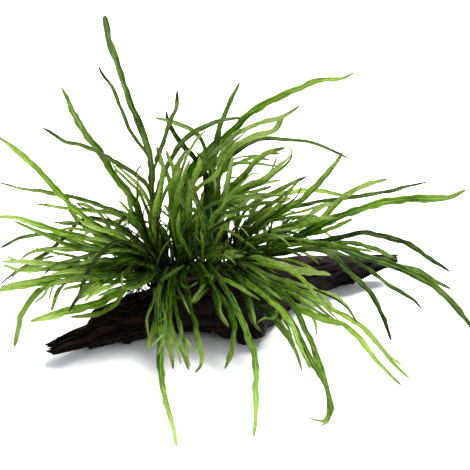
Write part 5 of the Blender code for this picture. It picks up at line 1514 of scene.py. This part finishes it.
RHIZOME_ROWS = 60
RHIZOME_SIDES = 18
RHIZOME_TONE = 0.4
RHIZOME_SLIM = 0.96             # of the solid's radius, before its bumps
SCALES = 190   # papery scales on each rhizome
SCALE_LENGTHS = (1.6, 3.4)      # millimetres
SCALE_WIDTHS = (0.35, 0.6)      # half widths at the foot, in millimetres
SCALE_SHAPE = (1.0, 0.9, 0.55, 0.08)    # their half widths from foot to tip
SCALE_THICKNESS = 0.06          # half of it, in millimetres
ROOTS = 100    # on each rhizome
ROOT_LENGTHS = (8, 42)          # millimetres
ROOT_RADII = (0.24, 0.42)       # at the start, in millimetres
ROOT_TIP = 0.12
ROOT_SIDES = 5
ROOT_STEP = 1.6 * MM
ROOT_FREE = 5 * MM              # the furthest that a root passes from the wood
ROOT_LIFT = 0.2 * MM            # how high it lies on the wood
ROOT_FLOOR = 0.6 * MM           # and above the floor
ROOT_START = 0.8                # share of the rhizome's radius that roots and stalks start at
WANDER = 0.26                   # how much a root turns at each step
SINK = 0.10                     # and how much it sinks
WIRES = 16      # dead wiry stalks on each rhizome
WIRE_LENGTHS = (10, 34)         # millimetres
WIRE_POINTS = 14
WIRE_RADII = (0.42, 0.2)        # at its foot and tip, in millimetres
WIRE_SIDES = 6
WIRE_WOBBLE = 0.22              # millimetres from point to point
PLACES = 40                     # places along a rhizome that things grow from
DOWNWARDS = np.array([0, 0, 0.6])       # how much roots start down rather than up


def add_scale(pile, rng, foot, ahead, out):
    """A papery scale that points to the growing tip."""
    lean = ahead * rng.uniform(0.6, 1.0) + out * rng.uniform(0.25, 0.7)
    length = rng.uniform(*SCALE_LENGTHS) * MM
    steps = np.linspace(0, 1, len(SCALE_SHAPE))[:, None]
    points = foot + unit(lean) * length * steps + out * length * 0.25 * steps ** 2
    widths = rng.uniform(*SCALE_WIDTHS) * MM * np.array(SCALE_SHAPE)[:, None, None]
    columns = np.array([-1.0, 0.0, 1.0])
    middle = points[:, None] + np.cross(ahead, out) * columns[None, :, None] * widths
    thick = out * SCALE_THICKNESS * MM
    pile.loft(middle + thick, middle - thick, steps[:, 0], columns, (rng.uniform(0.2, 0.9), 0, 0))


def make_rhizomes(material):
    for name in RHIZOMES:
        rng = seeded("rhizome", name)
        pile = Pile()
        line, ahead = rhizome_line(name, RHIZOME_ROWS)
        share = np.linspace(0, 1, RHIZOME_ROWS)
        bumps = noise_line(rng, 1, 0.06)(share) * 0.10 + noise_line(rng, 1, 0.025)(share) * 0.06
        ends = np.sqrt(np.clip(np.minimum(share, 1 - share) / 0.06, 0.02, 1))
        radii = RHIZOME_RADIUS * RHIZOME_SLIM * (1 + bumps) * ends
        pile.tube(line, radii, RHIZOME_SIDES, RHIZOME_TONE)
        for _ in range(SCALES):
            k = int(rng.integers(2, RHIZOME_ROWS - 3))
            out = square_to(ahead[k], rng.normal(size=3))
            add_scale(pile, rng, line[k] + out * radii[k] * 0.9, ahead[k], out)
        piece = pile.make("scaly_rhizome_" + name, material, "rhizome")
        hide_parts("rhizome_" + name)


def root_path(rng, start, heading, length, tree):
    """A wiry root that wanders, sinks, clings to the wood and ends where it leaves it."""
    place, heading = start, unit(heading)
    path = [place]
    for _ in range(int(length / ROOT_STEP)):
        heading = unit(heading + rng.normal(size=3) * WANDER + np.array([0, 0, -SINK]))
        place = place + heading * ROOT_STEP
        hit, normal, _, distance = tree.find_nearest(Vector(place))
        hit, normal = np.array(hit), np.array(normal)
        height = (place - hit).dot(normal)
        if distance > ROOT_FREE and len(path) > 3:
            break
        if height < ROOT_LIFT or distance < ROOT_FREE:
            goal = hit + normal * ROOT_LIFT
            place = goal if height < ROOT_LIFT else place + (goal - place) * 0.5
            heading = unit(heading - normal * heading.dot(normal) * 0.8)
        place[2] = max(place[2], ROOT_FLOOR)
        path.append(place)
    return np.array(path)


def make_roots(material, tree):
    """Roots from each rhizome over the wood, and a few dead wiry stalks that stand up."""
    for name in RHIZOMES:
        rng = seeded("roots", name)
        line, ahead = rhizome_line(name, PLACES)
        pile = Pile()
        for _ in range(ROOTS):
            k = int(rng.integers(0, PLACES))
            out = square_to(ahead[k], rng.normal(size=3) - DOWNWARDS)
            start = line[k] + out * RHIZOME_RADIUS * ROOT_START
            heading = out + ahead[k] * rng.normal() * 0.8
            path = root_path(rng, start, heading, rng.uniform(*ROOT_LENGTHS) * MM, tree)
            radii = np.linspace(rng.uniform(*ROOT_RADII), ROOT_TIP, len(path)) * MM
            pile.tube(path, radii, ROOT_SIDES, rng.uniform(0.1, 0.6))
        for _ in range(WIRES):
            k = int(rng.integers(0, PLACES))
            out = unit(rng.normal(size=3) * 0.6 + np.array([0, -0.1, 1.0]))
            steps = np.linspace(0, 1, WIRE_POINTS)[:, None]
            length = rng.uniform(*WIRE_LENGTHS) * MM
            bend = rng.normal(size=3) * 0.45
            start = line[k] + out * RHIZOME_RADIUS * ROOT_START
            path = start + (out * steps + bend * steps ** 2 * 0.5) * length
            path += np.cumsum(rng.normal(size=path.shape) * WIRE_WOBBLE * MM, axis=0)
            radii = np.linspace(*WIRE_RADII, WIRE_POINTS) * MM
            pile.tube(path, radii, WIRE_SIDES, rng.uniform(0.0, 0.4))
        pile.make("wiry_roots_" + name, material, "rhizome")


# ---------------------------------------------------------------- young leaves

LEAF_STEP = 2.5 * MM
LEAF_LENGTHS = (20, 62)         # millimetres
LEAF_WIDTH = 1.4                # the narrowest, in millimetres
LEAF_WIDEST = 2.3               # towards the back it is a millimetre more
LEAF_START = 0.7                # share of the rhizome's radius
LEAF_SAG = (0.015, 0.06)        # how fast a leaf bends down
LEAF_CLEAR = 3 * MM             # from the wood
LEAF_FLOOR = 2 * MM
LONG_LEAF = 36 * MM             # from this length on, some have a side lobe
REDRAWN = 6                     # times that a leaf before a gap is drawn again
# Places in the picture where the backdrop shows between the leaves: across, down and how wide.
OPEN_GAPS = [(226, 213, 10), (223, 172, 6), (236, 208, 6), (192, 200, 4), (110, 195, 10), (128, 196, 8),
             (246, 168, 10), (60, 245, 6), (100, 285, 6), (160, 170, 10), (165, 190, 6), (290, 190, 14),
             (320, 240, 8), (267, 186, 9), (244, 212, 7)]


def crosses_gap(points):
    across, down, _ = to_picture(points.T)
    return any(np.hypot(across - x, down - y).min() < size for x, y, size in OPEN_GAPS)


def grown_leaf(rng, rhizome, number, tree, behind):
    """A young leaf that leaves its rhizome in a seeded direction and bends over with its length."""
    line, ahead = rhizome_line(rhizome, PLACES)
    k = int(rng.integers(1, PLACES - 1))
    turn = rng.uniform(0.1, 0.9) * math.pi if behind else rng.uniform(0, 2 * math.pi)
    lean = rng.uniform(0.6, 2.2) if behind else rng.uniform(0.35, 1.25)
    heading = unit(np.array([math.cos(turn) * lean, math.sin(turn) * lean, 1.0]))
    out = unit(heading - ahead[k] * ahead[k].dot(heading) * 0.9)
    length = rng.uniform(*LEAF_LENGTHS) * MM
    place = line[k] + out * RHIZOME_RADIUS * LEAF_START
    points = [place]
    sag = rng.uniform(*LEAF_SAG)
    drift = rng.normal(size=3) * 0.03
    for n in range(int(length / LEAF_STEP)):
        heading = unit(heading + drift + np.array([0, 0, -sag * (0.4 + n * 0.12)]))
        if n < 2:
            heading = unit(heading + out * 0.8)
        place = place + heading * LEAF_STEP
        _, normal, _, distance = tree.find_nearest(Vector(place))
        if n > 1 and distance < LEAF_CLEAR:
            place = place + np.array(normal) * (LEAF_CLEAR - distance)
        points.append(np.array([place[0], place[1], max(place[2], LEAF_FLOOR)]))
    points = np.array(points)
    forward = units(np.gradient(points, axis=0))
    wish = unit(np.array([-heading[0], -heading[1], 1.2]))
    start = int(np.abs(forward @ wish).argmin())
    width = rng.uniform(LEAF_WIDTH, LEAF_WIDEST + behind) * MM
    return Blade(points, carried_ups(forward, wish, start, wish), width, ("young", rhizome, number))


def make_young_leaves(strands, leaf, tree):
    """The small leaves, and more grown between them, as one piece for each rhizome."""
    piles = {name: Pile() for name in RHIZOMES}
    for name, looks in SMALL_LOOKS.items():
        own = [strand for strand in strands if strand.name == name]
        add_frond(piles[SMALL[name][0]], own, looks)
    for rhizome, (count, behind) in LEAVES_GROWN.items():
        rng = seeded("young leaves", rhizome)
        for number in range(count + behind):
            blade = grown_leaf(rng, rhizome, number, tree, number >= count)
            for _ in range(REDRAWN):
                if crosses_gap(blade.points):
                    blade = grown_leaf(rng, rhizome, number, tree, number >= count)
            tone = rng.uniform(0.1, 0.55 if number < count else 0.45)
            looks = (tone, rng.uniform(0.0, 0.5), rng.uniform(0, 0.5))
            add_main(piles[rhizome], blade, looks)
            if blade.length > LONG_LEAF and rng.random() < SPUR_SHARE:
                add_any_spur(piles[rhizome], blade, looks, rng)
    for rhizome, pile in piles.items():
        pile.make("young_leaves_" + rhizome, leaf, "leaf")


# ---------------------------------------------------------------- materials

class Nodes:
    """Short names for building a material's nodes."""

    def __init__(self, name):
        self.material = bpy.data.materials.new(name)
        self.material.use_nodes = True
        self.tree = self.material.node_tree
        self.tree.nodes.clear()
        self.output = self.tree.nodes.new("ShaderNodeOutputMaterial")

    def new(self, kind, **settings):
        node = self.tree.nodes.new("ShaderNode" + kind)
        for key, value in settings.items():
            setattr(node, key, value)
        return node

    def link(self, value, socket):
        if isinstance(value, (int, float, tuple)):
            socket.default_value = value
        else:
            self.tree.links.new(value, socket)

    def mark(self, name):
        return self.new("Attribute", attribute_name=name).outputs["Fac"]

    def math(self, operation, a, b=0.0, clamp=False):
        node = self.new("Math", operation=operation, use_clamp=clamp)
        self.link(a, node.inputs[0])
        self.link(b, node.inputs[1])
        return node.outputs[0]

    def times(self, a, b, clamp=False):
        return self.math("MULTIPLY", a, b, clamp)

    def minus(self, a, b):
        return self.math("SUBTRACT", a, b)

    def plus(self, first, *rest):
        for value in rest:
            first = self.math("ADD", first, value)
        return first

    def swing(self, value, reach):
        """A value from 0 to 1 made to swing about 0."""
        return self.times(self.minus(value, 0.5), reach)

    def ease(self, value, low, high):
        """0 below low and 1 above high, smooth between."""
        node = self.new("MapRange", interpolation_type="SMOOTHSTEP")
        self.link(value, node.inputs["Value"])
        node.inputs["From Min"].default_value = low
        node.inputs["From Max"].default_value = high
        return node.outputs["Result"]

    def between(self, value, low, high):
        """A value from 0 to 1 stretched to between low and high."""
        node = self.new("MapRange")
        self.link(value, node.inputs["Value"])
        node.inputs["To Min"].default_value = low
        node.inputs["To Max"].default_value = high
        return node.outputs["Result"]

    def place(self):
        return self.new("TexCoord").outputs["Object"]

    def noise(self, scale, detail, stretch=(1, 1, 1), rough=0.5, place=None):
        mapping = self.new("Mapping")
        mapping.inputs["Scale"].default_value = stretch
        self.link(place or self.place(), mapping.inputs["Vector"])
        node = self.new("TexNoise")
        self.link(mapping.outputs[0], node.inputs["Vector"])
        node.inputs["Scale"].default_value = scale
        node.inputs["Detail"].default_value = detail
        node.inputs["Roughness"].default_value = rough
        return node.outputs["Fac"]

    def ramp(self, value, stops):
        node = self.new("ValToRGB")
        self.link(value, node.inputs["Fac"])
        elements = node.color_ramp.elements
        elements[0].position, elements[0].color = stops[0][0], (*stops[0][1], 1)
        elements[1].position, elements[1].color = stops[-1][0], (*stops[-1][1], 1)
        for place, colour in stops[1:-1]:
            elements.new(place).color = (*colour, 1)
        return node.outputs["Color"]

    def mix(self, share, a, b):
        node = self.new("Mix", data_type="RGBA")
        self.link(share, node.inputs["Factor"])
        self.link(a, node.inputs[6])
        self.link((*b, 1) if isinstance(b, tuple) else b, node.inputs[7])
        return node.outputs[2]

    def bump(self, height, strength, distance):
        node = self.new("Bump")
        node.inputs["Strength"].default_value = strength
        node.inputs["Distance"].default_value = distance
        self.link(height, node.inputs["Height"])
        return node.outputs["Normal"]

    def principled(self, colour, roughness, normal, **sockets):
        node = self.new("BsdfPrincipled")
        self.link(colour, node.inputs["Base Color"])
        self.link(roughness, node.inputs["Roughness"])
        self.link(normal, node.inputs["Normal"])
        for name, value in sockets.items():
            node.inputs[name.replace("_", " ")].default_value = value
        return node.outputs["BSDF"]

    def finish(self, shader):
        self.link(shader, self.output.inputs["Surface"])
        return self.material


# A leaf's colour by its lightness, when young and when old; the old, greyer colours are partly an old
# leaf's duller colour and partly painted sheen.
GREENS = [
    (0.00, (0.006, 0.020, 0.001)),
    (0.22, (0.032, 0.088, 0.002)),
    (0.42, (0.100, 0.213, 0.006)),
    (0.62, (0.214, 0.355, 0.026)),
    (0.82, (0.370, 0.505, 0.120)),
    (1.00, (0.520, 0.630, 0.260)),
]
GREYS = [
    (0.00, (0.006, 0.019, 0.002)),
    (0.22, (0.038, 0.079, 0.008)),
    (0.42, (0.110, 0.178, 0.044)),
    (0.62, (0.212, 0.294, 0.108)),
    (0.82, (0.340, 0.430, 0.220)),
    (1.00, (0.480, 0.560, 0.340)),
]
PALE_TIP = (0.43, 0.56, 0.19)
# The grey-green of a painted sheen, laid on in soft bands.
PAINTED_SHEEN_GREY = (0.28, 0.39, 0.13)
BROWN_SPOT = (0.045, 0.030, 0.008)
WITHERED = (0.046, 0.034, 0.016)
STALK_BROWN = (0.018, 0.022, 0.004)
LEAF_GLOW = 0.36                # share of the light that passes through a leaf
BARKS = [
    (0.30, (0.0006, 0.0004, 0.0003)),
    (0.46, (0.0040, 0.0020, 0.0012)),
    (0.60, (0.0180, 0.0100, 0.0062)),
    (0.80, (0.0900, 0.0560, 0.0380)),
]
REDDISH_PATCH = (0.024, 0.010, 0.005)
DARK_END = (0.0050, 0.0026, 0.0042)
RHIZOME_BROWNS = [
    (0.15, (0.006, 0.004, 0.003)),
    (0.50, (0.022, 0.013, 0.007)),
    (0.85, (0.070, 0.042, 0.020)),
]
WET_SHEEN = 0.11                # the specular level of leaves and wood
FLOOR_WHITE = (0.93, 0.94, 0.95, 1)


def leaf_material():
    n = Nodes("leaf_green")
    along, across, tone, lime, dry = [n.mark(name) for name in Pile.MARKS]
    away = n.math("ABSOLUTE", across)

    # Patterns in space, and patterns that lie along each leaf.
    broad = n.noise(38, 2)
    fine = n.noise(420, 4)
    on_leaf = n.new("CombineXYZ")
    n.link(n.times(across, 1.6), on_leaf.inputs[0])
    n.link(n.times(along, 26.0), on_leaf.inputs[1])
    n.link(n.times(tone, 90.0), on_leaf.inputs[2])
    on_leaf = on_leaf.outputs[0]
    blotch = n.noise(1.0, 3, place=on_leaf)
    streak = n.noise(1.0, 3, (3.2, 0.5, 1), place=on_leaf)
    sheen_bands = n.ease(n.noise(1.0, 2, (0.5, 0.28, 1), place=on_leaf), 0.50, 0.68)

    # How light it is: its own tone, the patterns, and lighter towards the tip, more so with more lime; the
    # darker lower leaf is partly its own older colour and partly painted shade where the leaves crowd and
    # hang.
    rise = n.plus(0.14, n.times(lime, 0.42))
    lift = n.plus(n.swing(broad, 0.40), n.swing(blotch, 0.70), n.swing(streak, 0.80),
                  n.times(n.minus(along, 0.55), rise))
    # One half is darker, the midrib lighter, with dark lines beside it, and the edge is lighter: the
    # darker half is painted shade, the lighter edge a painted highlight, and the lighter midrib partly its
    # own paler colour and partly a painted highlight.
    half = n.times(n.ease(across, -0.06, 0.06), -0.10)
    rib = n.times(n.minus(1.0, n.ease(away, 0.05, 0.18)), 0.16)
    beside = n.times(n.minus(n.ease(away, 0.12, 0.26), n.ease(away, 0.30, 0.60)), -0.10)
    edge = n.times(n.ease(away, 0.78, 1.0), 0.12)
    shade = n.plus(n.plus(tone, lift), n.plus(half, rib), beside)
    shade = n.math("ADD", shade, edge, clamp=True)

    # An old leaf, which has little lime at its tip, is greyer all over: partly its own duller colour,
    # partly painted sheen.
    old_and_sheen = n.minus(1.0, n.ease(lime, 0.05, 0.50))
    colour = n.mix(n.times(old_and_sheen, 0.80), n.ramp(shade, GREENS), n.ramp(shade, GREYS))
    # Pale towards the tip, partly the young tip's own colour and partly painted light where the tips hang
    # out in the light, and greyish in soft bands of painted sheen.
    reach = n.plus(along, n.swing(broad, 0.5))
    paleness = n.times(n.ease(reach, 0.55, 1.05), lime)
    colour = n.mix(n.times(paleness, 0.85), colour, PALE_TIP)
    colour = n.mix(n.times(sheen_bands, 0.20), colour, PAINTED_SHEEN_GREY)
    # Spotted, withered at a ragged tip or all over, and brown on the stalk.
    spots = n.ease(n.noise(230, 3), 0.66, 0.74)
    colour = n.mix(n.times(spots, n.times(dry, 0.6)), colour, BROWN_SPOT)
    tip = n.ease(n.plus(along, n.swing(fine, 0.16), n.times(dry, 0.06)), 0.93, 0.99)
    parched = n.times(n.ease(dry, 0.85, 1.0), 0.75)
    withered = n.math("MAXIMUM", n.times(tip, dry, clamp=True), parched)
    colour = n.mix(withered, colour, WITHERED)
    stalk = n.minus(1.0, n.ease(reach, 0.02, 0.15))
    colour = n.mix(n.times(stalk, 0.70), colour, STALK_BROWN)

    height = n.plus(n.times(blotch, 0.9), n.times(streak, 0.8), n.times(fine, 0.25))
    normal = n.bump(height, 0.8, 0.0013)
    roughness = n.between(blotch, 0.22, 0.42)
    body = n.principled(colour, roughness, normal, Specular_IOR_Level=WET_SHEEN)
    glow = n.new("BsdfTranslucent")
    n.link(colour, glow.inputs["Color"])
    n.link(normal, glow.inputs["Normal"])
    both = n.new("MixShader")
    both.inputs[0].default_value = LEAF_GLOW
    n.link(body, both.inputs[1])
    n.link(glow.outputs[0], both.inputs[2])
    return n.finish(both.outputs[0])


def wood_material():
    n = Nodes("wood_dark")
    wear_and_shade = n.mark("tone")
    grain = n.noise(150, 6, (0.12, 1, 1), 0.6)
    fibre = n.noise(620, 4, (0.07, 1, 1), 0.6)
    patch = n.noise(26, 3, (0.5, 1, 1), 0.55)
    place = n.new("SeparateXYZ")
    n.link(n.place(), place.inputs[0])
    # The tone mark makes the wood lighter on ridges and ledges, partly wear and partly painted highlight,
    # and darker in splits and pits, which is painted shade.
    colour = n.ramp(n.plus(n.times(grain, 0.42), n.times(wear_and_shade, 0.38), n.times(fibre, 0.20)), BARKS)
    colour = n.mix(n.times(n.ease(patch, 0.50, 0.66), 0.40), colour, REDDISH_PATCH)
    right = n.ease(place.outputs[0], 0.02, 0.09)
    colour = n.mix(n.times(right, 0.74), colour, DARK_END)
    roughness = n.between(n.noise(90, 4), 0.45, 0.80)
    normal = n.bump(n.plus(n.times(grain, 0.7), n.times(fibre, 0.7)), 0.9, 0.0015)
    return n.finish(n.principled(colour, roughness, normal, Specular_IOR_Level=WET_SHEEN))


def root_material():
    n = Nodes("rhizome_brown")
    mottle = n.noise(300, 4)
    colour = n.ramp(n.plus(n.times(n.mark("tone"), 0.6), n.times(mottle, 0.4)), RHIZOME_BROWNS)
    roughness = n.between(mottle, 0.50, 0.80)
    return n.finish(n.principled(colour, roughness, n.bump(mottle, 0.6, 0.0005)))


def floor_material():
    n = Nodes("studio_floor")
    node = n.new("BsdfPrincipled")
    node.inputs["Base Color"].default_value = FLOOR_WHITE
    node.inputs["Roughness"].default_value = 0.9
    node.inputs["Specular IOR Level"].default_value = 0.1
    return n.finish(node.outputs["BSDF"])


# ---------------------------------------------------------------- studio and camera

FLOOR_HALF = 4.0                # half the floor's side


def make_stage():
    mesh = bpy.data.meshes.new("studio_floor")
    corners = [(x * FLOOR_HALF, y * FLOOR_HALF, 0) for x, y in ((-1, -1), (1, -1), (1, 1), (-1, 1))]
    mesh.from_pydata(corners, [], [(0, 1, 2, 3)])
    mesh.materials.append(floor_material())
    floor = bpy.data.objects.new("studio_floor", mesh)
    bpy.context.scene.collection.objects.link(floor)


def add_sun(name, towards, spread, strength, colour):
    light = bpy.data.lights.new(name, "SUN")
    light.angle = spread
    light.energy = strength
    light.color = colour
    lamp = bpy.data.objects.new(name, light)
    lamp.rotation_euler = Vector(towards).to_track_quat("Z", "Y").to_euler()
    lamp.location = Vector(towards).normalized()
    bpy.context.scene.collection.objects.link(lamp)


def make_lights():
    world = bpy.data.worlds.new("studio")
    world.use_nodes = True
    background = world.node_tree.nodes["Background"]
    background.inputs["Color"].default_value = (0.95, 0.97, 1.0, 1)
    background.inputs["Strength"].default_value = 0.60
    bpy.context.scene.world = world
    add_sun("key", towards=(0.30, 0.40, 1.0), spread=0.6, strength=6.5, colour=(1.0, 0.99, 0.97))
    add_sun("fill", towards=(1.0, -0.8, 0.6), spread=0.9, strength=0.8, colour=(0.97, 0.98, 1.0))


def make_camera():
    """A camera that sees the picture's square from the picture's viewpoint."""
    eye = Vector(to_space(PICTURE_CENTRE, PICTURE_CENTRE, VIEW_DISTANCE))
    aim = Vector(to_space(PICTURE_CENTRE, PICTURE_CENTRE, 0.0))
    data = bpy.data.cameras.new("camera")
    data.sensor_width = 36
    data.lens = data.sensor_width * VIEW_DISTANCE / (2 * PICTURE_CENTRE * PICTURE_UNIT)
    data.clip_start = 0.01
    camera = bpy.data.objects.new("camera", data)
    camera.location = eye
    camera.rotation_euler = (aim - eye).to_track_quat("-Z", "Y").to_euler()
    bpy.context.scene.collection.objects.link(camera)
    bpy.context.scene.camera = camera


def main():
    bpy.context.scene.view_settings.view_transform = "Standard"
    bpy.context.scene.view_settings.look = "Medium High Contrast"
    solid = frame["nodes"]["driftwood"]
    corners = [tuple(solid.matrix_world @ vertex.co) for vertex in solid.data.vertices]
    faces = [tuple(face.vertices) for face in solid.data.polygons]
    solid_tree = BVHTree.FromPolygons(corners, faces)
    strands = strands_of(FRONDS)
    keep_apart(strands, solid_tree, FROND_ROUNDS)
    count = len(strands)
    strands += strands_of(SMALL)
    keep_apart(strands, solid_tree, SMALL_ROUNDS, count)
    leaf = leaf_material()
    brown = root_material()
    make_fronds(strands, leaf)
    tree = make_wood(wood_material())
    make_rhizomes(brown)
    make_roots(brown, tree)
    make_young_leaves(strands, leaf, tree)
    make_stage()
    make_lights()
    make_camera()


main()
